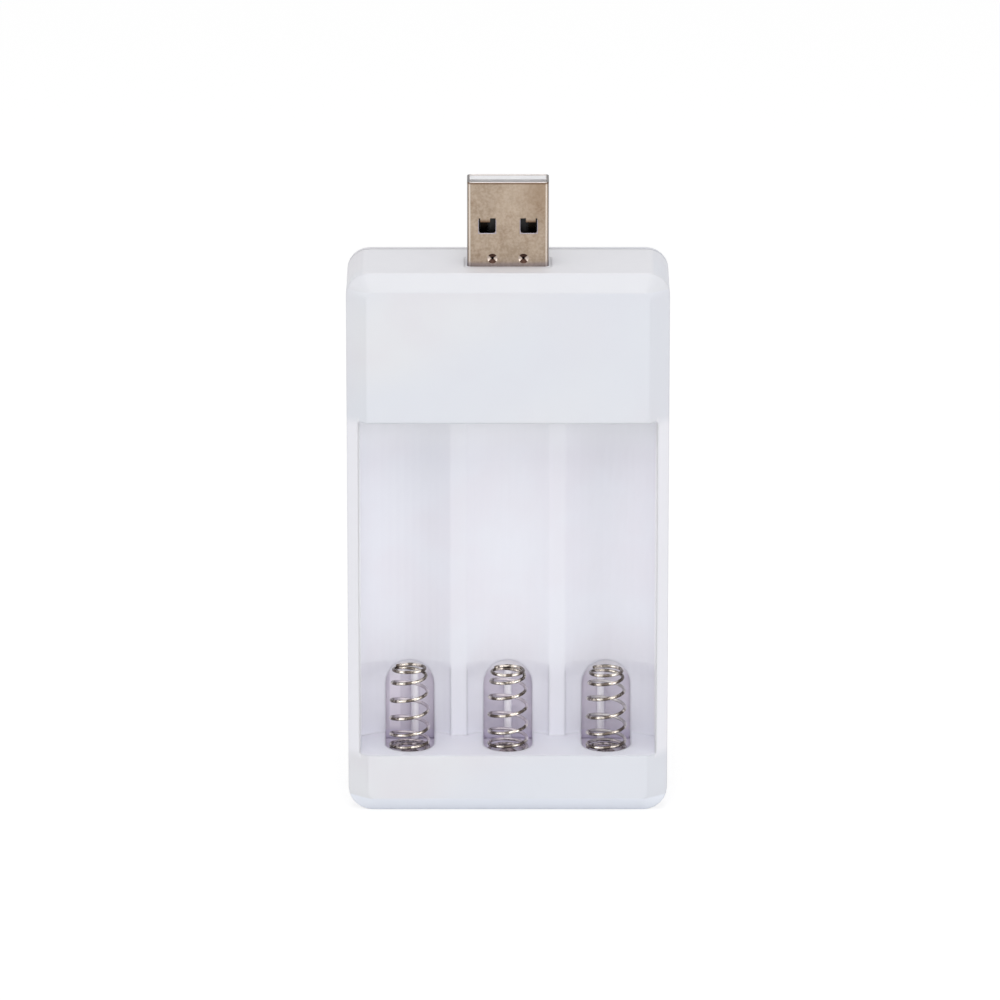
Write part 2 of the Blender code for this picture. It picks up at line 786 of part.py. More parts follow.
def window_outline(side):
    """A latch window whose upper edge keeps a small tab near its outer side."""
    middle = side * WINDOW_SPACING / 2
    outer = middle + side * WINDOW_WIDTH / 2
    inner = middle - side * WINDOW_WIDTH / 2
    top = PLUG_TIP - WINDOW_DROP + WINDOW_HEIGHT / 2
    tab_outer = outer - side * WINDOW_TAB_INSET
    tab_inner = tab_outer - side * WINDOW_TAB_WIDTH
    tab_low = top - WINDOW_TAB_HEIGHT
    low = top - WINDOW_HEIGHT
    corner = WINDOW_CORNER
    outer_turn = arc(outer - side * corner, low + corner, corner, 270, 270 + side * 90, 3)
    inner_turn = arc(inner + side * corner, low + corner, corner, 270 - side * 90, 270, 3)
    return outer_turn + [(outer, top), (tab_outer, top), (tab_outer, tab_low),
                         (tab_inner, tab_low), (tab_inner, top), (inner, top)] + inner_turn


def plug_windows():
    """Two windows through the front sheet and two through the back sheet."""
    bm = bmesh.new()
    half = PLUG_THICKNESS / 2
    for side in (-1, 1):
        outline = window_outline(side)
        for middle in (PLUG_AXIS_DEPTH - half, PLUG_AXIS_DEPTH + half):
            add_loft(bm, [front_ring(outline, middle - 2 * PLUG_SHEET),
                          front_ring(outline, middle + 2 * PLUG_SHEET)])
    return object_from("cut_plug_windows", bm)


def plug_punches():
    """Two punched holes near the root, dished in from the front."""
    bm = bmesh.new()
    front = PLUG_AXIS_DEPTH - PLUG_THICKNESS / 2
    wide = PUNCH_DIAMETER / 2
    slim = PUNCH_HOLE / 2
    z = PLUG_TIP - PUNCH_DROP
    steps = [(wide + PLUG_SHEET / 3, front - PLUG_SHEET / 3), (wide * 0.8, front + PLUG_SHEET / 3),
             (slim, front + PLUG_SHEET * 0.7), (slim, front + 2 * PLUG_SHEET)]
    for side in (-1, 1):
        x = side * PUNCH_SPACING / 2
        add_loft(bm, [front_ring(arc(x, z, radius, 0, 360, 16)[:-1], depth) for radius, depth in steps])
    return object_from("cut_plug_punches", bm)


def plug_seam():
    """The slit where the folded sheet's edges meet, down the middle of the back."""
    return box_object("cut_plug_seam", (-PLUG_SEAM / 2, PLUG_SEAM / 2),
                      (PLUG_BACK - 2 * PLUG_SHEET, PLUG_BACK + OVERCUT),
                      (PLUG_ROOT - OVERCUT, PLUG_TIP + OVERCUT))


def plug_leg_range():
    """The height range of the shell's solder legs."""
    low = PLUG_ROOT + PLUG_SHEET
    return low, low + PLUG_LEG_WIDTH


def plug_legs():
    """Solder legs that run back from the shell's sides through the board."""
    bm = bmesh.new()
    for side in (-1, 1):
        x = sorted((side * PLUG_WIDTH / 2, side * (PLUG_WIDTH / 2 - PLUG_SHEET)))
        add_box(bm, x, (PLUG_AXIS_DEPTH, BOARD_BACK + 2 * GAP), plug_leg_range())
    return object_from("add_plug_legs", bm)


def build_plug_shell():
    bm = bmesh.new()
    points = plug_outline()
    add_loft(bm, [level_ring(points, PLUG_ROOT), level_ring(points, PLUG_TIP)])
    shell = object_from("usb_shell", bm, plug_steel(), 35)
    cut(shell, plug_inside())
    join(shell, plug_legs())
    for opening in (plug_windows(), plug_punches(), plug_seam()):
        cut(shell, opening)
    return shell


def tongue_face():
    """Depth of the tongue's contact face."""
    return PLUG_BACK - PLUG_SHEET - GAP - TONGUE_THICKNESS


def build_tongue():
    """An L-shaped insulator: a block that fills the root and a tongue along the back."""
    front = PLUG_AXIS_DEPTH - PLUG_THICKNESS / 2 + PLUG_SHEET + GAP
    back = PLUG_BACK - PLUG_SHEET - GAP
    face = tongue_face()
    low = PLUG_ROOT + PLUG_SHEET
    step = low + TONGUE_BLOCK
    high = PLUG_TIP - TONGUE_RECESS
    half = PLUG_WIDTH / 2 - PLUG_SHEET - GAP
    outline = [(front, low), (back, low), (back, high), (face, high), (face, step), (front, step)]
    bm = bmesh.new()
    add_loft(bm, [side_ring(outline, -half), side_ring(outline, half)])
    tongue = object_from("usb_tongue", bm, tongue_plastic())
    grooves = bmesh.new()
    groove_half = PIN_WIDTH / 2 + GAP
    for x, recess in pin_places():
        add_box(grooves, (x - groove_half, x + groove_half),
                (face - GAP, face + PIN_SHEET + GAP),
                (low - OVERCUT, PLUG_TIP - TONGUE_RECESS - recess + GAP))
    return cut(tongue, object_from("cut_pin_grooves", grooves))


def pin_places():
    """X and the distance below the tongue's tip, for each pin from left to right."""
    outer, inner = PIN_OUTER_SPACING / 2, PIN_INNER_SPACING / 2
    return [(-outer, PIN_OUTER_RECESS), (-inner, PIN_INNER_RECESS),
            (inner, PIN_INNER_RECESS), (outer, PIN_OUTER_RECESS)]


def build_pins():
    """Bent strips that run down the tongue, back to the board and flat against it."""
    face = tongue_face()
    bend = PLUG_ROOT - 2 * GAP
    for i, (x, recess) in enumerate(pin_places(), start=1):
        high = PLUG_TIP - TONGUE_RECESS - recess
        outline = [
            (face, high), (face, bend - PIN_SHEET),
            (PART_BACK - PIN_SHEET, bend - PIN_SHEET), (PART_BACK - PIN_SHEET, bend - PIN_FOOT_LENGTH),
            (PART_BACK, bend - PIN_FOOT_LENGTH), (PART_BACK, bend),
            (face + PIN_SHEET, bend), (face + PIN_SHEET, high),
        ]
        bm = bmesh.new()
        add_loft(bm, [side_ring(outline, x - PIN_WIDTH / 2), side_ring(outline, x + PIN_WIDTH / 2)])
        object_from(f"usb_contact_{i}", bm, gold())


# The circuit board and its parts

def build_board():
    half = INNER_HALF - GAP - GAP
    board = box_object("circuit_board", (-half, half), (BOARD_FRONT, BOARD_BACK),
                       (BOARD_LOW, BOARD_TOP), board_green())
    bm = bmesh.new()
    for x, z in screw_positions():
        if z > HEAD_LOW:
            add_front_cylinder(bm, x, z, SCREW_BORE,
                               (BOARD_FRONT - OVERCUT, BOARD_BACK + OVERCUT), 12)
    low, high = plug_leg_range()
    for side in (-1, 1):
        x = sorted((side * (PLUG_WIDTH / 2 + GAP), side * (PLUG_WIDTH / 2 - PLUG_SHEET - GAP)))
        add_box(bm, x, (BOARD_FRONT - OVERCUT, BOARD_BACK + OVERCUT), (low - GAP, high + GAP))
    return cut(board, object_from("cut_board_holes", bm))


def build_chip():
    """The charge controller: a moulded body with gull-wing leads above and below."""
    middle = BODY_HEIGHT - CHIP_DROP
    half = CHIP_LENGTH / 2
    tall = CHIP_WIDTH / 2
    body_back = PART_BACK - GAP / 2
    chip = box_object("charge_controller", (-half, half), (body_back - CHIP_HEIGHT, body_back),
                      (middle - tall, middle + tall), black_resin())
    sheet = CHIP_LEAD_WIDTH / 2
    shoulder = body_back - CHIP_HEIGHT / 2
    bm = bmesh.new()
    for side in (-1, 1):
        root = middle + side * (tall - sheet)
        knee = middle + side * (tall + CHIP_LEAD_REACH / 2)
        toe = middle + side * (tall + CHIP_LEAD_REACH)
        outline = [
            (shoulder - sheet, root), (shoulder - sheet, knee), (PART_BACK - sheet, knee),
            (PART_BACK - sheet, toe), (PART_BACK, toe), (PART_BACK, knee - side * sheet),
            (shoulder, knee - side * sheet), (shoulder, root),
        ]
        for i in range(CHIP_LEADS):
            x = (i - (CHIP_LEADS - 1) / 2) * CHIP_LEAD_PITCH
            add_loft(bm, [side_ring(outline, x - CHIP_LEAD_WIDTH / 2),
                          side_ring(outline, x + CHIP_LEAD_WIDTH / 2)])
    return join(chip, object_from("add_chip_leads", bm))


def build_capacitor():
    """A can capacitor: a rolled groove near its square base and a rounded top."""
    middle = BODY_HEIGHT - CAN_DROP
    radius = CAN_DIAMETER / 2
    base = PART_BACK - CAN_HEIGHT / 6
    profile = [(radius, base), (radius, base - 0.10 * CAN_HEIGHT),
               (radius * 0.9, base - 0.16 * CAN_HEIGHT), (radius, base - 0.22 * CAN_HEIGHT),
               (radius, PART_BACK - 0.95 * CAN_HEIGHT), (radius * 0.9, PART_BACK - CAN_HEIGHT)]
    bm = bmesh.new()
    rings = [front_ring(arc(PART_OFFSET, middle, r, 0, 360, 16)[:-1], d) for r, d in profile]
    add_loft(bm, rings)
    can = object_from("input_capacitor", bm, aluminium(), 40)
    corner = radius * 0.35
    square = [(-radius, -radius), (radius, -radius), (radius, radius - corner),
              (radius - corner, radius), (corner - radius, radius), (-radius, radius - corner)]
    points = [(PART_OFFSET + x, middle + z) for x, z in square]
    foot = bmesh.new()
    add_loft(foot, [front_ring(points, base - GAP / 3), front_ring(points, PART_BACK)])
    return join(can, object_from("add_capacitor_base", foot))


def chip_block(name, x, z, size, surface):
    """A small moulded part with a terminal at each end, as one closed body."""
    length, width, height = size
    cap = length / 6
    inset = height / 8
    outline = [
        (x - width / 2, 0), (x + width / 2, 0), (x + width / 2, -height + inset),
        (x + width / 2 - inset, -height), (x - width / 2 + inset, -height),
        (x - width / 2, -height + inset),
    ]

    def ring(shrink, height_at):
        return [(x + (px - x) * shrink, FRONT + PART_BACK + d * shrink, height_at)
                for px, d in outline]

    low, high = z - length / 2, z + length / 2
    bm = bmesh.new()
    add_loft(bm, [ring(1, low), ring(1, low + cap), ring(0.9, low + cap), ring(0.9, high - cap),
                  ring(1, high - cap), ring(1, high)])
    return object_from(name, bm, surface)


def build_small_parts():
    diode = (DIODE_WIDTH, DIODE_LENGTH, DIODE_HEIGHT)
    for i, share in enumerate(DIODE_BAY_SHARES, start=1):
        x = share * BAY_PITCH
        chip_block(f"diode_{i}", x, BODY_HEIGHT - DIODE_DROP, diode, black_resin())
    resistor = (RESISTOR_LENGTH, RESISTOR_WIDTH, RESISTOR_HEIGHT)
    for i in range(RESISTOR_COUNT):
        x = -PART_OFFSET + (i - (RESISTOR_COUNT - 1) / 2) * RESISTOR_PITCH
        chip_block(f"resistor_{i + 1}", x, BODY_HEIGHT - RESISTOR_DROP, resistor, black_resin())


# Contacts of the bays

def add_dimple(bm, x, depth, z, height, radius):
    """A flat dome that points down from a plate at height z."""
    ball = (radius**2 + height**2) / (2 * height)
    rings = []
    for i in range(4):
        drop = height * i / 4
        width = math.sqrt(ball**2 - (ball - height + drop) ** 2)
        rings.append(level_ring(arc(x, depth, width, 0, 360, 12)[:-1], z - drop))
    rings.append(level_ring(arc(x, depth, radius * 0.15, 0, 360, 12)[:-1], z - height))
    add_loft(bm, rings)


def build_positive_contacts():
    """A plate with a pressed dome, and a leg that rises through the partition to the board."""
    top = BAY_TOP - GAP
    low = top - CONTACT_SHEET
    foot_low = BOARD_LOW + GAP
    foot_high = foot_low + CONTACT_FOOT_LENGTH
    inner = CONTACT_BACK - CONTACT_SHEET
    middle = (CONTACT_FRONT + CONTACT_BACK) / 2
    dome_radius = DIMPLE_SHARE * (CONTACT_BACK - CONTACT_FRONT) / 2
    dome_height = DIMPLE_HEIGHT + CONTACT_SHEET / 4
    leg = [
        (inner, low), (CONTACT_BACK, low), (CONTACT_BACK, foot_high - CONTACT_SHEET),
        (PART_BACK - CONTACT_SHEET, foot_high - CONTACT_SHEET), (PART_BACK - CONTACT_SHEET, foot_low),
        (PART_BACK, foot_low), (PART_BACK, foot_high), (inner, foot_high),
    ]
    for i, centre in enumerate(bay_positions(), start=1):
        half = CONTACT_WIDTH / 2
        plate = box_object(f"positive_contact_{i}", (centre - half, centre + half),
                           (CONTACT_FRONT, CONTACT_BACK), (low, top), nickel())
        bm = bmesh.new()
        half = CONTACT_LEG_WIDTH / 2
        add_loft(bm, [side_ring(leg, centre - half), side_ring(leg, centre + half)])
        join(plate, object_from(f"add_contact_leg_{i}", bm))
        dome = bmesh.new()
        add_dimple(dome, centre, middle, low + CONTACT_SHEET / 4, dome_height, dome_radius)
        join(plate, object_from(f"add_contact_dome_{i}", dome))
        hollow = bmesh.new()
        add_dimple(hollow, centre, middle, top + CONTACT_SHEET / 4, dome_height,
                   dome_radius - CONTACT_SHEET)
        cut(plate, object_from(f"cut_contact_dome_{i}", hollow))


def build_negative_bus():
    """One strip under the three springs, with a stud in each and a tab for the wire."""
    half = bay_positions()[-1] + CHANNEL_WIDTH / 2 + 2 * GAP
    low = BUS_TOP - BUS_SHEET
    back = CHANNEL_DEPTH + GAP
    bus = box_object("negative_bus", (-half, half), (WALL + 2 * GAP, back),
                     (low, BUS_TOP), nickel())
    radius = BUS_STUD_DIAMETER / 2
    studs = bmesh.new()
    for centre in bay_positions():
        rings = [(radius, BUS_TOP - BUS_SHEET / 2), (radius, BUS_TOP + BUS_STUD_HEIGHT / 2),
                 (radius * 0.7, BUS_TOP + BUS_STUD_HEIGHT)]
        add_loft(studs, [level_ring(arc(centre, SPRING_AXIS_DEPTH, r, 0, 360, 16)[:-1], z)
                         for r, z in rings])
    join(bus, object_from("add_bus_studs", studs, smooth_angle=40))
    edge = CHANNEL_BACK + GAP + BUS_SHEET
    tab = [(back - BUS_SHEET, low), (edge, low), (edge, BUS_TOP + BUS_TAB_HEIGHT),
           (edge - BUS_SHEET, BUS_TOP + BUS_TAB_HEIGHT), (edge - BUS_SHEET, BUS_TOP),
           (back - BUS_SHEET, BUS_TOP)]
    bm = bmesh.new()
    half = BUS_TAB_WIDTH / 2
    add_loft(bm, [side_ring(tab, -half), side_ring(tab, half)])
    return join(bus, object_from("add_bus_tab", bm))


# The contact springs

def opening(turn):
    """0 at the coil's closed ends and 1 in its open middle, eased between them."""
    up = min(turn / BASE_EASING, 1.0)
    down = min((SPRING_TURNS - turn) / TIP_EASING, 1.0)
    return up * up * (3 - 2 * up) * down * down * (3 - 2 * down)


def spring_heights(steps):
    """Heights of the wire's centre along the coil, from closed end to closed end."""
    turn = SPRING_TURNS / steps
    shares = [opening((i + 0.5) * turn) for i in range(steps)]
    open_rise = SPRING_LENGTH - SPRING_WIRE - END_PITCH * SPRING_TURNS
    heights = [SPRING_WIRE / 2]
    for share in shares:
        heights.append(heights[-1] + END_PITCH * turn + open_rise * share / sum(shares))
    return heights


def spring_radius(turn):
    """The coil narrows toward its free end."""
    wide = (SPRING_DIAMETER - SPRING_WIRE) / 2
    slim = (SPRING_TIP_DIAMETER - SPRING_WIRE) / 2
    share = max((turn - SPRING_TURNS + NARROWING) / NARROWING, 0.0)
    return wide + (slim - wide) * share * share * (3 - 2 * share)


def spring_mesh():
    """A round wire swept along the coil, its sections square to the coil's plane."""
    per_turn = 14
    sides = 8
    count = round(SPRING_TURNS * per_turn)
    bm = bmesh.new()
    rings = []
    for i, height in enumerate(spring_heights(count)):
        turn = SPRING_TURNS * i / count
        angle = 2 * math.pi * turn
        radius = spring_radius(turn)
        section = []
        for out, up in arc(0, 0, SPRING_WIRE / 2, 0, 360, sides)[:-1]:
            reach = radius + out
            section.append((reach * math.cos(angle), reach * math.sin(angle), height + up))
        rings.append(section)
    add_loft(bm, rings)
    return object_from("spring_pattern", bm, nickel(), 60)


def build_springs():
    pattern = spring_mesh()
    for i, x in enumerate(bay_positions(), start=1):
        spring = bpy.data.objects.new(f"spring_{i}", pattern.data)
        spring.location = (x, FRONT + SPRING_AXIS_DEPTH, SPRING_BASE)
        bpy.context.scene.collection.objects.link(spring)
    bpy.data.objects.remove(pattern)


# The ground wire

def wire_route():
    """From above the bus tab, aside behind a ridge, and up to the back of the board."""
    radius = WIRE_DIAMETER / 2
    low = BUS_TOP + BUS_TAB_HEIGHT + GAP
    high = BOARD_LOW + 3 * WIRE_DIAMETER
    channel = CHANNEL_BACK + GAP + radius
    board = BOARD_BACK + GAP + radius
    middle = (channel + board) / 2
    rise = high - low
    return [(0, channel, low), (0, channel, low + 0.2 * rise),
            (WIRE_SWAY * 0.6, middle, low + 0.4 * rise), (WIRE_SWAY, middle, low + 0.6 * rise),
            (WIRE_SWAY * 0.5, board, low + 0.82 * rise), (WIRE_SWAY * 0.2, board, high)]


def smooth_route(points, steps):
    """A smooth curve through the route's points."""
    ends = [points[0]] + points + [points[-1]]
    found = []
    for a, b, c, d in zip(ends, ends[1:], ends[2:], ends[3:]):
        for i in range(steps):
            t = i / steps
            found.append(tuple(
                0.5 * (2 * q + (r - p) * t + (2 * p - 5 * q + 4 * r - s) * t * t
                       + (3 * q - p - 3 * r + s) * t**3)
                for p, q, r, s in zip(a, b, c, d)))
    return found + [points[-1]]


def build_wire():
    curve = bpy.data.curves.new("ground_wire", "CURVE")
    curve.dimensions = "3D"
    curve.bevel_depth = WIRE_DIAMETER / 2
    curve.bevel_resolution = 2
    curve.use_fill_caps = True
    spline = curve.splines.new("POLY")
    route = smooth_route(wire_route(), 5)
    spline.points.add(len(route) - 1)
    for point, (x, depth, z) in zip(spline.points, route):
        point.co = (x, FRONT + depth, z, 1)
    curve.materials.append(wire_sleeve())
    wire = bpy.data.objects.new("ground_wire", curve)
    bpy.context.scene.collection.objects.link(wire)


def build():
    for old in list(bpy.data.objects):
        bpy.data.objects.remove(old)
    build_front_shell()
    build_rear_cover()
    build_screws()
    build_plug_shell()
    build_tongue()
    build_pins()
    build_board()
    build_chip()
    build_capacitor()
    build_small_parts()
    build_positive_contacts()
    build_negative_bus()
    build_springs()
    build_wire()


build()
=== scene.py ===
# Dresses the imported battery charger: materials, detailed coil springs, floor, lights and camera.

import math

import bmesh
import bpy
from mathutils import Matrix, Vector


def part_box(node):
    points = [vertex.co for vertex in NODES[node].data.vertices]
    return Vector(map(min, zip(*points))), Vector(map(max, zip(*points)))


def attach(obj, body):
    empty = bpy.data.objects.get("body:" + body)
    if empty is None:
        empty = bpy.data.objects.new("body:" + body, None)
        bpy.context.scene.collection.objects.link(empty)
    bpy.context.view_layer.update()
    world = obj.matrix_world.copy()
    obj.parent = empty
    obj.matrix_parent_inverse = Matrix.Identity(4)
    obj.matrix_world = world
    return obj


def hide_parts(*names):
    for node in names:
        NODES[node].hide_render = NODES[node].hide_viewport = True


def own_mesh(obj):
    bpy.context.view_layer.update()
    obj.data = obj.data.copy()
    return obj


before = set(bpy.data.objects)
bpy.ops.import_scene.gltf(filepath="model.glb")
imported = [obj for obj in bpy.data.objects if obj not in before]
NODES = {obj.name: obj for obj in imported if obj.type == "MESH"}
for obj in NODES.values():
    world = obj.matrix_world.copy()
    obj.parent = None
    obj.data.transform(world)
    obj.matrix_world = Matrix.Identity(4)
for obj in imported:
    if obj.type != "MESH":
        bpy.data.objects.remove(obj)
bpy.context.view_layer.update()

MM = 0.001


# Nodes of a material

class Surface:
    """A material and short names for the nodes that make up its colour, gloss and relief."""

    def __init__(self, name, **settings):
        self.material = bpy.data.materials.new(name)
        self.material.use_nodes = True
        self.tree = self.material.node_tree
        self.shader = self.tree.nodes["Principled BSDF"]
        for socket, value in settings.items():
            self.shader.inputs[socket.replace("_", " ").title()].default_value = value
        coordinates = self.tree.nodes.new("ShaderNodeTexCoord")
        self.place = coordinates.outputs["Object"]
        self.normals = coordinates.outputs["Normal"]

    def link(self, source, target):
        """Feeds a socket from a node's output, or sets it to a number or a colour."""
        if isinstance(source, (int, float, tuple)):
            target.default_value = source
        else:
            self.tree.links.new(source, target)

    def stretch(self, scale):
        """The object's own coordinates, scaled apart along X, Y and Z."""
        node = self.tree.nodes.new("ShaderNodeMapping")
        node.inputs["Scale"].default_value = scale
        self.link(self.place, node.inputs["Vector"])
        return node.outputs["Vector"]

    def noise(self, scale, detail=3.0, rough=0.5, vector=None):
        node = self.tree.nodes.new("ShaderNodeTexNoise")
        node.inputs["Scale"].default_value = scale
        node.inputs["Detail"].default_value = detail
        node.inputs["Roughness"].default_value = rough
        self.link(vector or self.place, node.inputs["Vector"])
        return node.outputs["Fac"]

    def math(self, kind, a, b=0.0, c=0.0):
        node = self.tree.nodes.new("ShaderNodeMath")
        node.operation = kind
        for source, target in zip((a, b, c), node.inputs):
            self.link(source, target)
        return node.outputs["Value"]

    def product(self, first, *others):
        for other in others:
            first = self.math("MULTIPLY", first, other)
        return first

    def absolute(self, value):
        return self.math("ABSOLUTE", value)

    def ramp(self, value, low, high, to_low=0.0, to_high=1.0):
        """A smooth step: to_low at low and before it, to_high at high and beyond it."""
        node = self.tree.nodes.new("ShaderNodeMapRange")
        node.interpolation_type = "SMOOTHSTEP"
        for source, target in zip((value, low, high, to_low, to_high), node.inputs):
            self.link(source, target)
        return node.outputs["Result"]

    def mix(self, factor, a, b):
        node = self.tree.nodes.new("ShaderNodeMix")
        node.data_type = "RGBA"
        self.link(factor, node.inputs[0])
        self.link(colour(a) if isinstance(a, tuple) else a, node.inputs[6])
        self.link(colour(b) if isinstance(b, tuple) else b, node.inputs[7])
        return node.outputs[2]

    def split(self, vector):
        node = self.tree.nodes.new("ShaderNodeSeparateXYZ")
        self.link(vector, node.inputs["Vector"])
        return node.outputs["X"], node.outputs["Y"], node.outputs["Z"]

    def axes(self):
        return self.split(self.place)

    def edge(self, radius, samples=6):
        """A normal that rounds every sharp edge."""
        node = self.tree.nodes.new("ShaderNodeBevel")
        node.samples = samples
        node.inputs["Radius"].default_value = radius
        return node.outputs["Normal"]

    def relief(self, height, strength, distance, normal=None):
        node = self.tree.nodes.new("ShaderNodeBump")
        node.inputs["Strength"].default_value = strength
        node.inputs["Distance"].default_value = distance
        self.link(height, node.inputs["Height"])
        if normal is not None:
            self.link(normal, node.inputs["Normal"])
        return node.outputs["Normal"]

    def finish(self, base, gloss, normal):
        self.link(base, self.shader.inputs["Base Color"])
        self.link(gloss, self.shader.inputs["Roughness"])
        self.link(normal, self.shader.inputs["Normal"])
        return self.material


def linear(value):
    value /= 255
    return value / 12.92 if value <= 0.04045 else ((value + 0.055) / 1.055) ** 2.4


def colour(rgb):
    """An sRGB colour written 0 to 255, as the linear colour that a socket takes."""
    return tuple(linear(v) for v in rgb) + (1.0,)


# White plastic

GRAIN_DEPTH = 0.01 * MM
SHARP_EDGE = 0.1 * MM

OUTSIDE = (230, 231, 235)
OUTSIDE_SHADE = (228, 227, 232)
OUTSIDE_BLUE = (223, 227, 236)
# Painted light: the tray lighter and bluer than the outside, lightest just under the hood where its shade
# falls.
BAY_PAINTED_LIGHT = (239, 240, 248)
BAY_PAINTED_LIGHT_DRIFT = (238, 237, 245)
UNDER_HOOD_PAINTED_LIGHT = (249, 250, 255)
# Painted light on the top face.
TOP_PAINTED_LIGHT = (234, 234, 239)
# Painted shade on the chamfer along the top front edge.
TOP_CHAMFER_PAINTED_SHADE = (224, 225, 230)
# Painted light, lighter and bluer, on the bottom front chamfer.
FOOT_EDGE_PAINTED_LIGHT = (239, 243, 252)
# Painted light on the front rims of the side walls.
WALL_RIM_PAINTED_LIGHT = (240, 240, 246)
# Painted light on the inner faces of the side walls, where shade falls in the tray's corners.
CREASE_PAINTED_LIGHT = (252, 252, 255)
# Painted light in the low wells beside the springs.
WELL_PAINTED_LIGHT = (240, 240, 249)
# Painted shade in lilac-grey down the recesses behind the springs, drifting between two tones.
CHANNEL_PAINTED_SHADE = (215, 208, 222)
CHANNEL_PAINTED_SHADE_DARKER = (205, 199, 214)
# Painted light: the outer two channels a little lighter.
CHANNEL_OUTER_BAY_PAINTED_LIGHT = (240, 234, 244)
# Painted reflection: a pale upright band in the first channel.
CHANNEL_PAINTED_REFLECTION = (238, 231, 243)
# The painted shade, a little lighter in the sockets below the foot's top.
CHANNEL_SOCKET_PAINTED_SHADE = (218, 211, 230)
# Painted light at the top of each channel, where the painted shade fades out.
CHANNEL_CROWN_PAINTED_LIGHT = (252, 251, 255)
# Painted highlight: a bright upright strip down each channel.
STRIP_PAINTED_HIGHLIGHT = (252, 249, 255)

BAY_PITCH = 14.667 * MM
HALF_TRAY = 22.0 * MM
FOOT_TOP = 9.3 * MM
HOOD_EDGE = 61.0 * MM
CHAMFER_BACK = -6.15 * MM
SPRING_Y = -3.025 * MM
# Where the painted highlight strips stand, each off its channel's middle towards the tray's centre.
HIGHLIGHT_STRIPS = (-13.917 * MM, 0.0, 13.917 * MM)

# Soft steps between the painted light and shade zones: where each starts and where it ends. Those of a
# channel are across its bay, along Y and up Z; those of a painted highlight strip are away from its
# middle, along Y and up Z.
TOP_CHAMFER_STEP = (80.9 * MM, 81.1 * MM)
TOP_STEP = (83.2 * MM, 83.35 * MM)
HOOD_STEP = (52.0 * MM, 59.0 * MM)
FOOT_EDGE_STEP = (2.7 * MM, 2.3 * MM)
CREASE_STEP = (22.2 * MM, 22.05 * MM)
WELL_TOP_STEP = (21.5 * MM, 19.5 * MM)
OUTER_BAY_STEP = (BAY_PITCH / 2, BAY_PITCH / 2 + MM)
PALE_BAND_LEFT, PALE_BAND_RIGHT = (-3.2 * MM, -2.9 * MM), (-1.3 * MM, -1.6 * MM)
PALE_BAND_FOOT = (9.0 * MM, 10.2 * MM)
CROWN_STEP = (17.4 * MM, 20.2 * MM)
CHANNEL_SIDE = (3.9 * MM, 3.75 * MM)
CHANNEL_FRONT, CHANNEL_BACK = (2.45 * MM, 3.0 * MM), (4.6 * MM, 4.5 * MM)
CHANNEL_FOOT, CHANNEL_TOP = (7.3 * MM, 7.5 * MM), (20.9 * MM, 20.6 * MM)
STRIP_SIDE = (0.66 * MM, 0.60 * MM)
STRIP_FRONT, STRIP_BACK = (1.9 * MM, 2.0 * MM), (3.3 * MM, 3.25 * MM)
STRIP_FOOT, STRIP_TOP = (7.4 * MM, 7.7 * MM), (19.2 * MM, 19.0 * MM)


def moulded_white(name, front=False, rounding=0.6 * MM):
    """Satin white plastic with a faint grain; on the front shell, painted light and shade vary its white
    by zone.
    """
    s = Surface(name)
    drift = s.ramp(s.noise(90.0, 2.0), 0.35, 0.65)
    base = s.mix(drift, OUTSIDE_SHADE, OUTSIDE)
    base = s.mix(s.ramp(s.noise(34.0, 1.0), 0.42, 0.62, 0.0, 0.6), base, OUTSIDE_BLUE)
    # Painted light and shade, for the front shell and the plug collar.
    if front:
        base = paint_front_light_and_shade(s, base, drift)
    gloss = s.ramp(s.noise(700.0, 4.0), 0.3, 0.7, 0.40, 0.50)
    grain = s.math("ADD", s.noise(9000.0, 2.0), s.product(s.noise(1500.0, 2.0), 0.7))
    return s.finish(base, gloss, s.relief(grain, 0.10, 0.012 * MM, s.edge(rounding, 8)))


def paint_front_light_and_shade(s, base, drift):
    """Painted light and shade on the front shell: a darker top chamfer; a lighter tray, hood underside,
    top, foot edge, wall rims and creases.
    """
    x, y, z = s.axes()
    facing = s.ramp(y, CHAMFER_BACK + 0.5 * MM, CHAMFER_BACK)
    # Painted shade on the chamfer along the top front edge.
    base = s.mix(s.product(facing, s.ramp(z, *TOP_CHAMFER_STEP)), base, TOP_CHAMFER_PAINTED_SHADE)
    # Painted light over the tray, lightest just under the hood.
    inside = s.mix(s.ramp(z, *HOOD_STEP), s.mix(drift, BAY_PAINTED_LIGHT_DRIFT, BAY_PAINTED_LIGHT), UNDER_HOOD_PAINTED_LIGHT)
    base = s.mix(bay_zone(s), base, inside)
    base = paint_channel_light_and_shade(s, base)
    # Painted light on the top face.
    base = s.mix(s.ramp(z, *TOP_STEP), base, TOP_PAINTED_LIGHT)
    # Painted light, lighter and bluer, on the bottom front chamfer.
    base = s.mix(s.product(facing, s.ramp(z, *FOOT_EDGE_STEP)), base, FOOT_EDGE_PAINTED_LIGHT)
    # Painted light on the front rims of the side walls.
    base = s.mix(s.product(facing, wall_zone(s)), base, WALL_RIM_PAINTED_LIGHT)
    # Painted light on the inner faces of the side walls, where shade falls in the tray's corners.
    crease = s.product(wall_zone(s), s.ramp(s.absolute(x), *CREASE_STEP))
    return s.mix(crease, base, CREASE_PAINTED_LIGHT)


def wall_zone(s):
    """1 on the side walls between foot and head."""
    x, _, z = s.axes()
    aside = s.ramp(s.absolute(x), HALF_TRAY - 0.2 * MM, HALF_TRAY - 0.05 * MM)
    above = s.ramp(z, FOOT_TOP - MM, FOOT_TOP + MM)
    return s.product(aside, above, s.ramp(z, HOOD_EDGE + MM, HOOD_EDGE - MM))


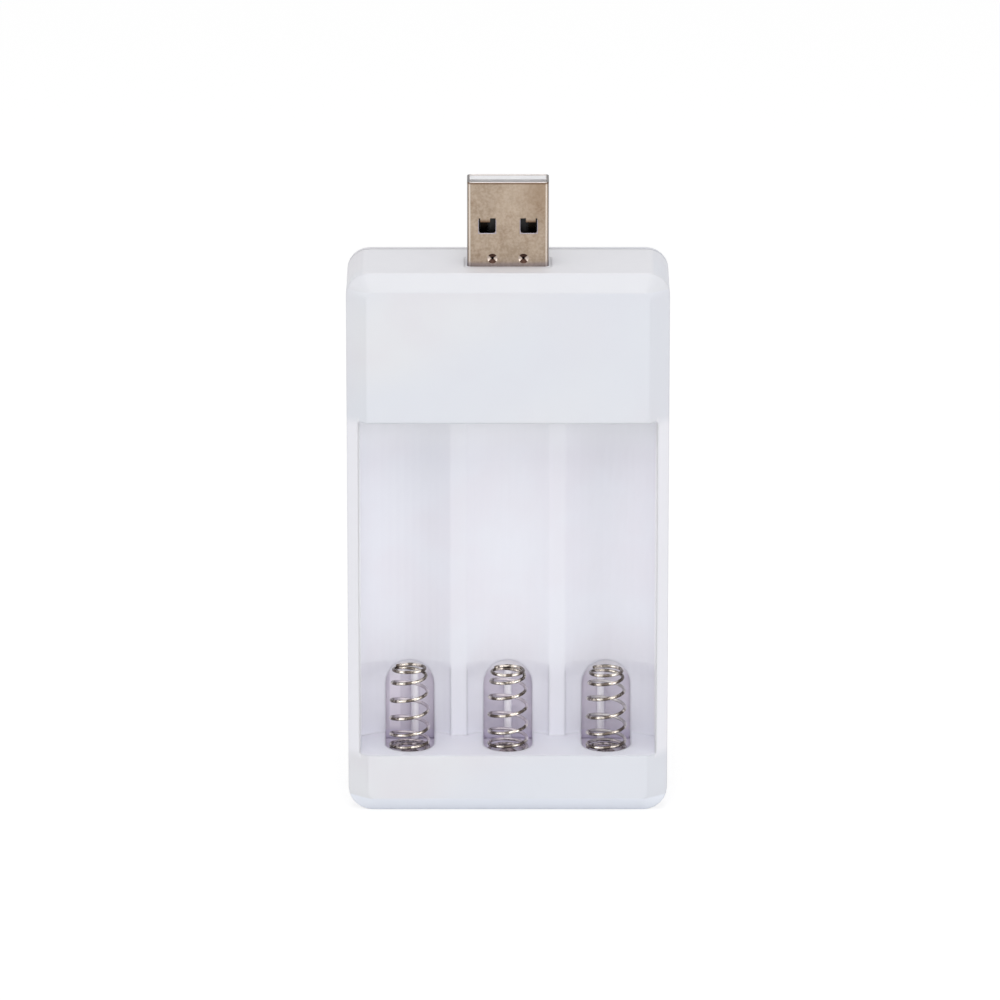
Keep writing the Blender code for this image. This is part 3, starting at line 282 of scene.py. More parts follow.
def bay_zone(s):
    """1 on every surface of the open tray, between the foot, the head and the side walls."""
    x, _, z = s.axes()
    within = s.ramp(s.absolute(x), HALF_TRAY + 0.1 * MM, HALF_TRAY + 0.02 * MM)
    above = s.ramp(z, FOOT_TOP - 0.1 * MM, FOOT_TOP - 0.02 * MM)
    return s.product(within, above, s.ramp(z, HOOD_EDGE + 0.05 * MM, HOOD_EDGE))


def across_bay(s, x):
    """X from the middle of its own bay."""
    return s.math("WRAP", x, BAY_PITCH / 2, -BAY_PITCH / 2)


def paint_channel_light_and_shade(s, base):
    """Painted shade in lilac-grey down the recesses behind the springs, with painted light in the wells,
    crowns and outer bays, a painted reflection band in the first bay and painted highlight strips.
    """
    x, y, z = s.axes()
    aside = across_bay(s, x)
    # Painted light in the low wells beside the springs.
    low = s.product(s.ramp(z, *WELL_TOP_STEP), s.ramp(z, FOOT_TOP + 0.05 * MM, FOOT_TOP + 0.2 * MM))
    base = s.mix(s.product(low, bay_zone(s)), base, WELL_PAINTED_LIGHT)
    # Painted shade in the recesses behind the springs, drifting between two lilac-greys.
    clouds = s.ramp(s.noise(420.0, 3.0), 0.35, 0.65)
    lilac = s.mix(clouds, CHANNEL_PAINTED_SHADE, CHANNEL_PAINTED_SHADE_DARKER)
    # Painted reflection: a pale upright band in the first channel.
    first_bay = s.ramp(x, -BAY_PITCH / 2, -BAY_PITCH / 2 - MM)
    band = s.product(s.ramp(aside, *PALE_BAND_LEFT), s.ramp(aside, *PALE_BAND_RIGHT),
                     first_bay, s.ramp(z, *PALE_BAND_FOOT))
    lilac = s.mix(band, lilac, CHANNEL_PAINTED_REFLECTION)
    # Painted light: the outer two channels a little lighter.
    outer_bay = s.ramp(s.absolute(x), *OUTER_BAY_STEP)
    lilac = s.mix(s.product(outer_bay, 0.25), lilac, CHANNEL_OUTER_BAY_PAINTED_LIGHT)
    # The painted shade, a little lighter in the socket below the foot's top.
    lilac = s.mix(s.ramp(z, FOOT_TOP + 0.2 * MM, FOOT_TOP - 0.2 * MM), lilac, CHANNEL_SOCKET_PAINTED_SHADE)
    # Painted light at the top of each channel, where the painted shade fades out.
    lilac = s.mix(s.ramp(z, *CROWN_STEP), lilac, CHANNEL_CROWN_PAINTED_LIGHT)
    # Where the painted shade lies: the recess behind each spring.
    deep = s.product(s.ramp(y, *CHANNEL_FRONT), s.ramp(y, *CHANNEL_BACK),
                     s.ramp(s.absolute(aside), *CHANNEL_SIDE),
                     s.ramp(z, *CHANNEL_FOOT), s.ramp(z, *CHANNEL_TOP))
    base = s.mix(deep, base, lilac)
    # Painted highlights: a bright upright strip down each channel.
    on_strip = 0.0
    for strip_x in HIGHLIGHT_STRIPS:
        off = s.absolute(s.math("SUBTRACT", x, strip_x))
        on_strip = s.math("ADD", on_strip, s.ramp(off, *STRIP_SIDE))
    on_strip = s.product(on_strip, s.ramp(z, *STRIP_TOP), s.ramp(z, *STRIP_FOOT),
                         s.ramp(y, *STRIP_FRONT), s.ramp(y, *STRIP_BACK))
    return s.mix(on_strip, base, STRIP_PAINTED_HIGHLIGHT)


# The plug's sheet

NICKEL_DARK, NICKEL_LIGHT = (151, 134, 116), (173, 156, 138)
STAIN_BROWN = (124, 99, 76)
SPECKLE_PALE = (194, 178, 164)
CORNER_BROWN = (134, 108, 82)
# Painted highlights along the rounded folds at the plug's sides.
FOLD_PAINTED_HIGHLIGHT = (228, 218, 208)
# Painted shade on the plug's sides beyond its folds.
SIDE_PAINTED_SHADE = (142, 137, 138)
# Painted shadow where the plug meets the housing.
ROOT_PAINTED_SHADOW = (128, 120, 126)
TAB_BROWN = (96, 68, 44)
WINDOW_CUT = (158, 152, 160)
# Painted shadow line under the mouth's front rim; painted light on the rim tops and painted shade on the
# side rims.
RIM_PAINTED_SHADOW = (100, 76, 58)
RIM_PAINTED_LIGHT, RIM_PAINTED_SHADE = (206, 200, 198), (108, 103, 103)
# Painted reflections in the dished punches: highlights at the sides, shade above and below.
PUNCH_PAINTED_HIGHLIGHT, PUNCH_PAINTED_SHADE = (206, 192, 180), (78, 58, 50)

PLUG_FRONT = -2.6 * MM
PLUG_TOP = 96.2 * MM
WINDOW_X, WINDOW_Z = 3.05 * MM, 89.6 * MM
WINDOW_HALF, WINDOW_REACH = 1.225 * MM, 1.125 * MM
PUNCH_X, PUNCH_Z = 2.28 * MM, 84.6 * MM

# Soft steps again: across the plug from its middle, or up Z
CORNER_ASIDE, CORNER_HEIGHT = (0.5 * MM, 5.0 * MM), (88.0 * MM, 95.0 * MM)
FOLD_START, FOLD_END = (5.48 * MM, 5.55 * MM), (5.76 * MM, 5.68 * MM)
SIDE_STEP = (5.76 * MM, 5.90 * MM)
ROOT_STEP = (84.6 * MM, 84.0 * MM)
RIM_SIDE_STEP = (5.62 * MM, 5.70 * MM)
PUNCH_RADIUS_STEP = (0.78 * MM, 0.70 * MM)
PUNCH_DEPTH_STEP = (-2.0 * MM, -2.1 * MM)
PUNCH_SECTOR_STEP = (-0.26 * MM, -0.04 * MM)


def plug_metal():
    """Nickelled sheet, mottled brown, with painted highlights and shade on its folds, sides, rim and
    dished punches, a painted shadow at its root and pale window edges.
    """
    s = Surface("plug_steel_finish", metallic=1.0)
    x, y, z = s.axes()
    across = s.absolute(x)
    from_window = s.absolute(s.math("SUBTRACT", across, WINDOW_X))
    drift = s.math("ADD", s.noise(130.0, 4.0, 0.6), s.product(s.noise(900.0, 3.0, 0.6), 0.35))
    base = s.mix(s.ramp(drift, 0.48, 0.88), NICKEL_DARK, NICKEL_LIGHT)
    stain = s.ramp(s.noise(330.0, 5.0, 0.65, s.stretch((1, 1, 0.7))), 0.50, 0.72)
    base = s.mix(s.product(stain, 0.45), base, STAIN_BROWN)
    speckle = s.ramp(s.noise(2400.0, 2.0, 0.6), 0.34, 0.66)
    base = s.mix(s.product(speckle, 0.34), base, SPECKLE_PALE)
    corner = s.product(s.ramp(x, *CORNER_ASIDE), s.ramp(z, *CORNER_HEIGHT))
    base = s.mix(s.product(corner, 0.45), base, CORNER_BROWN)
    # Painted highlights along the rounded folds at the plug's sides.
    fold = s.product(s.ramp(across, *FOLD_START), s.ramp(across, *FOLD_END))
    base = s.mix(s.product(fold, 0.7), base, FOLD_PAINTED_HIGHLIGHT)
    # Painted shade on the plug's sides beyond its folds.
    base = s.mix(s.product(s.ramp(across, *SIDE_STEP), 0.75), base, SIDE_PAINTED_SHADE)
    # Painted shadow where the plug meets the housing.
    root = s.ramp(s.math("ADD", z, s.product(drift, 0.5 * MM)), *ROOT_STEP)
    base = s.mix(s.product(root, 0.6), base, ROOT_PAINTED_SHADOW)
    base = plug_rim(s, across, y, z, base)
    base = s.mix(s.product(window_tab(s, from_window, z), 0.8), base, TAB_BROWN)
    base = s.mix(window_edge(s, from_window, z), base, WINDOW_CUT)
    base = punch_shade(s, across, y, z, base)
    rough = s.ramp(s.noise(390.0, 3.0), 0.3, 0.7, 0.28, 0.40)
    lines = s.noise(2600.0, 3.0, 0.6, s.stretch((6, 6, 1)))
    return s.finish(base, rough, s.relief(lines, 0.10, GRAIN_DEPTH, s.edge(0.22 * MM)))


def plug_rim(s, across, y, z, base):
    """The cut edge of the mouth: painted light on top in front and behind, painted shade at its sides,
    over a painted shadow line.
    """
    front = s.ramp(y, PLUG_FRONT + 0.5 * MM, PLUG_FRONT + 0.4 * MM)
    line = s.product(s.ramp(z, PLUG_TOP - 0.34 * MM, PLUG_TOP - 0.24 * MM), front)
    base = s.mix(s.product(line, 0.8), base, RIM_PAINTED_SHADOW)
    rim = s.mix(s.ramp(across, *RIM_SIDE_STEP), RIM_PAINTED_LIGHT, RIM_PAINTED_SHADE)
    return s.mix(s.ramp(z, PLUG_TOP - 0.07 * MM, PLUG_TOP - 0.03 * MM), base, rim)


def window_tab(s, from_window, z):
    """1 on the bent tab inside a window, fading up to where the tab leaves the sheet."""
    within = s.ramp(from_window, WINDOW_HALF, WINDOW_HALF - 0.1 * MM)
    above = s.ramp(z, WINDOW_Z - 0.9 * MM, WINDOW_Z - 0.8 * MM)
    return s.product(s.ramp(z, WINDOW_Z + 1.08 * MM, WINDOW_Z + 0.55 * MM), above, within)


def window_edge(s, from_window, z):
    """1 in the cut sheet and just beside it, at a window's sides and foot."""
    sideways = s.math("SUBTRACT", from_window, WINDOW_HALF)
    below = s.math("SUBTRACT", WINDOW_Z - WINDOW_REACH, z)
    away = s.math("MAXIMUM", sideways, below)
    ring = s.product(s.ramp(away, -0.06 * MM, -0.01 * MM), s.ramp(away, 0.15 * MM, 0.06 * MM))
    return s.product(ring, s.ramp(z, WINDOW_Z + 1.0 * MM, WINDOW_Z + 0.8 * MM))


def punch_shade(s, across, y, z, base):
    """The dished punches get painted reflections: painted shade above and below, painted highlights at
    both sides.
    """
    dx = s.math("SUBTRACT", across, PUNCH_X)
    dz = s.math("SUBTRACT", z, PUNCH_Z)
    radius = s.math("SQRT", s.math("ADD", s.product(dx, dx), s.product(dz, dz)))
    disc = s.product(s.ramp(radius, *PUNCH_RADIUS_STEP), s.ramp(y, *PUNCH_DEPTH_STEP))
    tilt = s.math("SUBTRACT", s.absolute(dz), s.absolute(dx))
    return s.mix(disc, base, s.mix(s.ramp(tilt, *PUNCH_SECTOR_STEP), PUNCH_PAINTED_HIGHLIGHT, PUNCH_PAINTED_SHADE))


# Other materials

# Painted reflections on the wire: dark and light bands across each turn.
WIRE_REFLECTION_BAND = 2.2 * MM
# This line also holds the painted shade of the wire's underside.
WIRE_DARK_REFLECTION, WIRE_LIGHT_REFLECTION, WIRE_UNDERSIDE_PAINTED_SHADE = (98, 88, 81), (234, 225, 214), (82, 74, 71)
# Painted reflection: pale lilac-grey over the back half of each coil.
BACK_REFLECTION_LEFT, BACK_REFLECTION_RIGHT = (215, 207, 216), (208, 204, 206)
# Mottled painted shade on the wire's foot down in its socket, darkest just in front of the middle.
FOOT_PAINTED_SHADE, FOOT_PAINTED_SHADE_DARKEST, FOOT_PAINTED_SHADE_LIGHT = (108, 98, 98), (52, 43, 39), (214, 204, 206)
BACK_REFLECTION_TOP_STEP = (19.6 * MM, 18.8 * MM)
WIRE_FOOT_STEP = (9.4 * MM, 8.8 * MM)
DARK_MIDDLE_STEP = (2.0 * MM, 0.8 * MM)
# Painted shade on the gold contacts below this height.
GOLD_PAINTED_SHADE_STEP = (93.4 * MM, 92.4 * MM)
# Painted shade turns the insulator black below this height.
TONGUE_PAINTED_SHADE_STEP = (94.1 * MM, 94.7 * MM)


def metal(name, dark, light, cloud, gloss, grain, strength, streak=(1, 1, 1)):
    """A metal whose colour and gloss drift in clouds, with a fine directional grain."""
    s = Surface(name, metallic=1.0)
    clouds = s.math("ADD", s.noise(cloud, 4.0, 0.6), s.product(s.noise(cloud * 6, 3.0, 0.6), 0.35))
    base = s.mix(s.ramp(clouds, 0.48, 0.88), dark, light)
    rough = s.ramp(s.noise(cloud * 3, 3.0), 0.3, 0.7, *gloss)
    lines = s.noise(grain, 3.0, 0.6, s.stretch(streak))
    return s.finish(base, rough, s.relief(lines, strength, GRAIN_DEPTH, s.edge(SHARP_EDGE)))


def gold_plate():
    """Gold contacts, with painted shade making them nearly black where they run down into the plug."""
    s = Surface("gold_plate_finish", metallic=1.0)
    _, _, z = s.axes()
    clouds = s.ramp(s.noise(400.0, 4.0), 0.35, 0.65)
    base = s.mix(clouds, (196, 150, 70), (222, 180, 98))
    # Painted shade: nearly black further down inside the plug.
    base = s.mix(s.ramp(z, *GOLD_PAINTED_SHADE_STEP), base, s.mix(clouds, (20, 17, 14), (34, 28, 22)))
    rough = s.ramp(s.noise(1200.0, 3.0), 0.3, 0.7, 0.2, 0.32)
    return s.finish(base, rough, s.relief(s.noise(3000.0), 0.08, GRAIN_DEPTH))


def tongue_plastic():
    """Insulator: pale at its open end, with painted shade making it black further in."""
    s = Surface("tongue_plastic_finish")
    _, _, z = s.axes()
    pale = s.mix(s.ramp(s.noise(600.0), 0.4, 0.6), (238, 238, 241), (243, 243, 245))
    dark = s.mix(s.ramp(s.noise(900.0), 0.4, 0.6), (14, 13, 14), (24, 22, 24))
    # Painted shade: black further in, inside the plug.
    base = s.mix(s.ramp(z, *TONGUE_PAINTED_SHADE_STEP), dark, pale)
    gloss = s.ramp(s.noise(2500.0), 0.3, 0.7, 0.4, 0.55)
    return s.finish(base, gloss, s.relief(s.noise(6000.0), 0.15, GRAIN_DEPTH))


def board_green():
    """Solder mask over faint copper tracks."""
    s = Surface("board_green_finish", coat_weight=0.4, coat_roughness=0.15)
    bricks = s.tree.nodes.new("ShaderNodeTexBrick")
    bricks.inputs["Scale"].default_value = 260.0
    bricks.inputs["Mortar Size"].default_value = 0.16
    s.link(s.place, bricks.inputs["Vector"])
    tracks = bricks.outputs["Fac"]
    weave = s.ramp(s.noise(3500.0), 0.35, 0.65)
    base = s.mix(tracks, (22, 86, 52), (36, 116, 66))
    base = s.mix(s.product(weave, 0.3), base, (16, 70, 42))
    return s.finish(base, s.ramp(weave, 0.0, 1.0, 0.3, 0.45), s.relief(tracks, 0.3, 0.03 * MM))


def moulded_dark(name, dark, light):
    """Resin or sleeve with a fine speckle."""
    s = Surface(name)
    speckle = s.ramp(s.noise(4000.0, 2.0), 0.4, 0.7)
    gloss = s.ramp(s.noise(1200.0), 0.3, 0.7, 0.45, 0.65)
    return s.finish(s.mix(speckle, dark, light), gloss,
                    s.relief(speckle, 0.2, 0.02 * MM, s.edge(SHARP_EDGE)))


def spring_wire():
    """Nickelled wire with painted reflections in light and dark bands and a pale lilac-grey back; painted
    shade on its underside and foot.
    """
    s = Surface("nickel_wire_finish", metallic=1.0)
    x, y, z = s.axes()
    aside = across_bay(s, x)
    # Painted reflections: dark and light bands across each turn, broken up by glints.
    wave = s.math("COSINE", s.product(aside, 2 * math.pi / WIRE_REFLECTION_BAND))
    glints = s.math("SUBTRACT", s.noise(1300.0, 3.0, 0.6), 0.5)
    light = s.math("SUBTRACT", s.product(glints, 2.4), s.product(wave, 0.35))
    base = s.mix(s.ramp(light, -0.32, 0.36), WIRE_DARK_REFLECTION, WIRE_LIGHT_REFLECTION)
    # Painted shade on the wire's underside.
    _, _, upward = s.split(s.normals)
    base = s.mix(s.ramp(upward, -0.1, -0.8, 0.0, 0.55), base, WIRE_UNDERSIDE_PAINTED_SHADE)
    # Painted reflection: pale lilac-grey over the back half of each coil.
    depth = s.math("ADD", y, s.product(aside, 0.4))
    behind = s.product(s.ramp(depth, SPRING_Y - 0.3 * MM, SPRING_Y + 0.7 * MM), s.ramp(z, *BACK_REFLECTION_TOP_STEP))
    back_reflection = s.mix(s.ramp(x, *OUTER_BAY_STEP), BACK_REFLECTION_LEFT, BACK_REFLECTION_RIGHT)
    base = s.mix(s.product(behind, 0.8), base, back_reflection)
    # Mottled painted shade on the wire's foot down in its socket, darkest just in front of the middle.
    foot = s.ramp(z, *WIRE_FOOT_STEP)
    in_front = s.ramp(y, SPRING_Y - 0.8 * MM, SPRING_Y - 1.6 * MM)
    dark_middle = s.product(in_front, s.ramp(s.absolute(aside), *DARK_MIDDLE_STEP))
    dark = s.mix(dark_middle, FOOT_PAINTED_SHADE, FOOT_PAINTED_SHADE_DARKEST)
    foot_shade = s.mix(s.ramp(s.noise(1500.0, 3.0, 0.6), 0.42, 0.56), dark, FOOT_PAINTED_SHADE_LIGHT)
    base = s.mix(s.product(foot, 0.85), base, foot_shade)
    rough = s.ramp(s.noise(1600.0, 3.0), 0.3, 0.7, 0.12, 0.24)
    rough = s.math("ADD", rough, s.product(s.math("MAXIMUM", behind, foot), 0.3))
    return s.finish(base, rough, s.relief(s.noise(4000.0, 3.0, 0.6), 0.08, GRAIN_DEPTH))


def bus_metal():
    """Contact strip, mottled with brown blots where the springs sit."""
    s = Surface("negative_bus_finish", metallic=1.0)
    blots = s.ramp(s.noise(900.0, 4.0, 0.65), 0.40, 0.58)
    base = s.mix(blots, (98, 88, 88), (200, 186, 184))
    rough = s.ramp(s.noise(1100.0, 3.0), 0.3, 0.7, 0.22, 0.4)
    grain = s.noise(2500.0, 3.0, 0.6)
    return s.finish(base, rough, s.relief(grain, 0.12, GRAIN_DEPTH, s.edge(SHARP_EDGE)))


def plate_plastic():
    """Lilac-grey insulating plate with a fine speckle, pale to paint light onto the shaded socket floor.
    """
    s = Surface("spring_plate_painted_light")
    clouds = s.ramp(s.noise(500.0, 4.0, 0.6), 0.35, 0.65)
    gloss = s.ramp(s.noise(1500.0), 0.3, 0.7, 0.45, 0.6)
    return s.finish(s.mix(clouds, (222, 215, 230), (234, 227, 242)), gloss,
                    s.relief(s.noise(5000.0), 0.15, GRAIN_DEPTH))


def dress_nodes():
    """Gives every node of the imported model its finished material."""
    resin = moulded_dark("black_resin_finish", (20, 20, 22), (40, 40, 42))
    finishes = {
        "front_shell": moulded_white("front_shell_white", front=True),
        "rear_cover": moulded_white("rear_cover_white"),
        "usb_shell": plug_metal(),
        "usb_tongue": tongue_plastic(),
        "usb_contact": gold_plate(),
        "circuit_board": board_green(),
        "charge_controller": resin,
        "diode": resin,
        "resistor": resin,
        "input_capacitor": metal("can_aluminium_finish", (168, 170, 174), (200, 202, 206), 300.0,
                                 (0.25, 0.36), 3000.0, 0.1),
        "positive_contact": metal("nickel_strip_finish", (150, 145, 146), (204, 200, 202), 260.0,
                                  (0.2, 0.34), 2500.0, 0.1, streak=(1, 8, 1)),
        "negative_bus": bus_metal(),
        "screw": metal("screw_steel_finish", (120, 120, 122), (168, 168, 170), 500.0,
                       (0.28, 0.42), 3000.0, 0.15),
        "spring": spring_wire(),
        "ground_wire": moulded_dark("wire_sleeve_finish", (18, 18, 20), (30, 30, 33)),
    }
    for name, node in NODES.items():
        key = name if name in finishes else name.rsplit("_", 1)[0]
        for slot in node.material_slots:
            slot.material = finishes[key]
    return finishes


# Meshes

def join_rings(bm, rings):
    """Faces from each ring of points to the next."""
    for a, b in zip(rings, rings[1:]):
        for i in range(len(a)):
            j = (i + 1) % len(a)
            bm.faces.new((a[i], a[j], b[j], b[i]))


def make_object(name, bm):
    mesh = bpy.data.meshes.new(name)
    bm.to_mesh(mesh)
    bm.free()
    made = bpy.data.objects.new(name, mesh)
    bpy.context.scene.collection.objects.link(made)
    return made


# Coil springs

WIRE = 0.5 * MM
WIRE_SIDES = 12
STEPS_A_TURN = 44
COIL_WIDE = 2.82 * MM
COIL_SLIM = 2.3 * MM
TURNS = 7.4
FRONT_TURNS = (0.75, 1.75, 2.75, 3.75, 4.75, 5.75, 6.75)
COIL_FRONTS = {
    "spring_1": (8.62, 9.60, 11.60, 14.25, 17.00, 19.66, 21.32),
    "spring_2": (8.62, 9.80, 11.97, 14.68, 17.39, 19.70, 20.85),
    "spring_3": (8.62, 9.62, 11.82, 14.42, 17.26, 19.50, 20.80),
}
COIL_LEAN = {"spring_1": 0.35 * MM, "spring_2": 0.15 * MM, "spring_3": 0.25 * MM}
LEAN_FROM = 0.75
TOP_LIFT = {"spring_1": 0.42 * MM, "spring_3": 0.1 * MM}
NARROW_FROM = 3.6


def coil_knots(name, base, top):
    """Heights of the wire's centre at chosen turns, from the base to the closed top ring."""
    turns = (0.0,) + FRONT_TURNS + (TURNS,)
    heights = (base + WIRE / 2,) + tuple(h * MM for h in COIL_FRONTS[name]) + (top - WIRE / 2,)
    return turns, heights


def monotone(turns, heights, at):
    """A smooth curve through the knots that never turns back down."""
    slopes = [(b - a) / (u - t) for t, u, a, b in zip(turns, turns[1:], heights, heights[1:])]
    tangents = [slopes[0]] + [2 * p * q / (p + q) for p, q in zip(slopes, slopes[1:])] + [slopes[-1]]
    i = max(k for k in range(len(slopes)) if turns[k] <= at or k == 0)
    span = turns[i + 1] - turns[i]
    t = (at - turns[i]) / span
    a, b = heights[i], heights[i + 1]
    return (a * (1 + 2 * t) * (1 - t) ** 2 + b * t * t * (3 - 2 * t)
            + span * (tangents[i] * t * (1 - t) ** 2 - tangents[i + 1] * t * t * (1 - t)))


def lean(node, turn):
    """How far the coil hangs below a level one here: most at its back, not at all at its base."""
    share = min(max(turn - LEAN_FROM, 0.0), 1.0)
    return COIL_LEAN[node] * share * (1 + math.sin(2 * math.pi * turn)) / 2


def coil_radius(turn):
    """Wide over the lower turns, then narrowing smoothly to the top."""
    share = min(max((turn - NARROW_FROM) / (TURNS - NARROW_FROM), 0.0), 1.0)
    return COIL_WIDE + (COIL_SLIM - COIL_WIDE) * share * share * (3 - 2 * share)


def sweep(name, points, radius):
    """A round wire along the points, with rounded ends."""
    bm = bmesh.new()
    rings = []
    last = len(points) - 1
    for i, point in enumerate(points):
        ahead = (points[min(i + 1, last)] - points[max(i - 1, 0)]).normalized()
        side = ahead.cross(Vector((0, 0, 1))).normalized()
        up = side.cross(ahead)
        rings.append([
            bm.verts.new(point + radius * (math.cos(a) * side + math.sin(a) * up))
            for a in (2 * math.pi * k / WIRE_SIDES for k in range(WIRE_SIDES))
        ])
    join_rings(bm, rings)
    for ring, point, back in ((rings[0], points[0], points[0] - points[1]),
                              (rings[-1], points[-1], points[-1] - points[-2])):
        tip = bm.verts.new(point + back.normalized() * radius * 0.4)
        for k in range(WIRE_SIDES):
            bm.faces.new((ring[k], ring[(k + 1) % WIRE_SIDES], tip))
    bmesh.ops.recalc_face_normals(bm, faces=bm.faces)
    piece = make_object(name, bm)
    for face in piece.data.polygons:
        face.use_smooth = True
    return piece


def build_spring(i, wire):
    """A finer coil in place of the CAD spring, fixed to the housing."""
    node = f"spring_{i}"
    low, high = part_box(node)
    centre = (low + high) / 2
    turns, heights = coil_knots(node, low.z, high.z + TOP_LIFT.get(node, 0.0))
    steps = round(TURNS * STEPS_A_TURN)
    points = []
    for step in range(steps + 1):
        turn = TURNS * step / steps
        angle = 2 * math.pi * turn
        radius = coil_radius(turn)
        height = monotone(turns, heights, turn) - lean(node, turn)
        points.append(Vector((centre.x + radius * math.cos(angle), centre.y + radius * math.sin(angle),
                              height)))
    piece = sweep(f"coil_spring_{i}", points, WIRE / 2)
    piece.data.materials.append(wire)
    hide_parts(node)
    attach(piece, "housing")
    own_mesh(piece)


# Thin fixed pieces. Each outline is its half width, half depth and corner radius.

COLLAR_OUTER = (6.29 * MM, 2.54 * MM, 0.3 * MM)
COLLAR_INNER = (6.02 * MM, 2.27 * MM, 0.65 * MM)
COLLAR_THICK, COLLAR_SUNK = 1.0 * MM, 0.02 * MM
PLUG_HALF_DEPTH = 2.25 * MM
TIP_Y, TIP_OUTLINE = 0.585 * MM, (5.68 * MM, 1.0 * MM, 0.15 * MM)
TIP_LEVELS = ((95.0 * MM, 0.0), (96.04 * MM, 0.0), (96.12 * MM, 0.07 * MM))
SEAM_Y, SEAM_OUTLINE = 1.7 * MM, (0.09 * MM, 0.07 * MM, 0.02 * MM)
SEAM_LEVELS = ((84.0 * MM, 0.0), (96.17 * MM, 0.0))
PLATE_Y, PLATE_OUTLINE = -1.55 * MM, (4.0 * MM, 5.05 * MM, 0.5 * MM)
PLATE_HOLE = (1.6 * MM, 1.6 * MM, 1.5 * MM)
PLATE_LOW, PLATE_HIGH = 7.62 * MM, 7.84 * MM


def rounded_outline(half, reach, corner, steps=5):
    """Points of a rectangle with round corners, about its middle."""
    points = []
    for quarter, (side, front) in enumerate(((1, 1), (-1, 1), (-1, -1), (1, -1))):
        for i in range(steps + 1):
            a = math.pi / 2 * (quarter + i / steps)
            points.append((side * (half - corner) + corner * math.cos(a),
                           front * (reach - corner) + corner * math.sin(a)))
    return points


def add_piece(name, bm, finish):
    """A fixed piece of the housing, dressed in one material."""
    bmesh.ops.recalc_face_normals(bm, faces=bm.faces)
    piece = make_object(name, bm)
    piece.data.materials.append(finish)
    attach(piece, "housing")


def collar(x, outer_y, outer, inner_y, inner, low, high):
    """A flat ring between two outlines, each about its own middle."""
    bm = bmesh.new()
    outer, inner = rounded_outline(*outer), rounded_outline(*inner)
    levels = ((outer, outer_y, high), (inner, inner_y, high), (inner, inner_y, low), (outer, outer_y, low))
    rings = [[bm.verts.new((x + px, middle + py, z)) for px, py in outline]
             for outline, middle, z in levels]
    join_rings(bm, rings + rings[:1])
    return bm


def block(middle_y, outline, levels):
    """A solid through rounded rectangles about X = 0, given as (height, inset) levels."""
    bm = bmesh.new()
    half, reach, corner = outline
    rings = [[bm.verts.new((x, middle_y + y, z))
              for x, y in rounded_outline(half - inset, reach - inset, corner)] for z, inset in levels]
    join_rings(bm, rings)
    bm.faces.new(rings[0][::-1])
    bm.faces.new(rings[-1])
    return bm


def build_plug_collar(white):
    """The thin lip of the head's top wall that closes the slot round the plug."""
    middle = PLUG_FRONT + PLUG_HALF_DEPTH
    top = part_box("front_shell")[1].z - COLLAR_SUNK
    lip = collar(0, middle, COLLAR_OUTER, middle, COLLAR_INNER, top - COLLAR_THICK, top)
    add_piece("plug_collar", lip, white)


def build_tongue_tip(tongue):
    """The insulator's broad end that fills the back of the plug's mouth."""
    add_piece("usb_tongue_tip", block(TIP_Y, TIP_OUTLINE, TIP_LEVELS), tongue)


def build_seam_joint(steel):
    """The bent edge at the bottom of the slit down the plug's back."""
    add_piece("plug_seam_joint", block(SEAM_Y, SEAM_OUTLINE, SEAM_LEVELS), steel)


def build_spring_plates(plastic):
    """An insulating plate on the bus strip under each spring, with a hole for the bus stud; its pale
    colour paints light into the socket.
    """
    for i in (1, 2, 3):
        plate = collar((i - 2) * BAY_PITCH, PLATE_Y, PLATE_OUTLINE, SPRING_Y, PLATE_HOLE,
                       PLATE_LOW, PLATE_HIGH)
        add_piece(f"spring_plate_{i}", plate, plastic)


# Floor, lights and camera

FLOOR_SIZE, FLOOR_CELLS = 6.0, 12
FLOOR_WHITE = 0.86
FLOOR_GLOW = 0.72
FLOOR_SEEN = 0.38
WORLD_LIGHT = 0.52
MIDDLE = (0, 0, 0.045)


def grey(value):
    return (value, value, value, 1)


def build_floor():
    """A matt white floor that a camera ray sees as white but for the object's shadow."""
    bm = bmesh.new()
    bmesh.ops.create_grid(bm, x_segments=FLOOR_CELLS, y_segments=FLOOR_CELLS, size=FLOOR_SIZE)
    floor = make_object("floor", bm)
    material = bpy.data.materials.new("floor_white")
    material.use_nodes = True
    tree = material.node_tree
    matt = tree.nodes["Principled BSDF"]
    matt.inputs["Base Color"].default_value = grey(FLOOR_WHITE)
    matt.inputs["Roughness"].default_value = 0.9
    matt.inputs["Specular IOR Level"].default_value = 0.0
    faint = tree.nodes.new("ShaderNodeBsdfDiffuse")
    faint.inputs["Color"].default_value = grey(FLOOR_SEEN)
    glow = tree.nodes.new("ShaderNodeEmission")
    glow.inputs["Color"].default_value = grey(1)
    glow.inputs["Strength"].default_value = FLOOR_GLOW
    both = tree.nodes.new("ShaderNodeAddShader")
    tree.links.new(faint.outputs[0], both.inputs[0])
    tree.links.new(glow.outputs[0], both.inputs[1])
    choose_by_ray(tree, matt.outputs[0], both.outputs[0], "Material Output")
    floor.data.materials.append(material)


def build_world():
    """Soft light from all round, seen as plain white."""
    world = bpy.data.worlds.new("studio")
    bpy.context.scene.world = world
    world.use_nodes = True
    tree = world.node_tree
    soft = tree.nodes["Background"]
    white = tree.nodes.new("ShaderNodeBackground")
    for shader, strength in ((soft, WORLD_LIGHT), (white, 1.0)):
        shader.inputs["Color"].default_value = grey(1)
        shader.inputs["Strength"].default_value = strength
    choose_by_ray(tree, soft.outputs[0], white.outputs[0], "World Output")


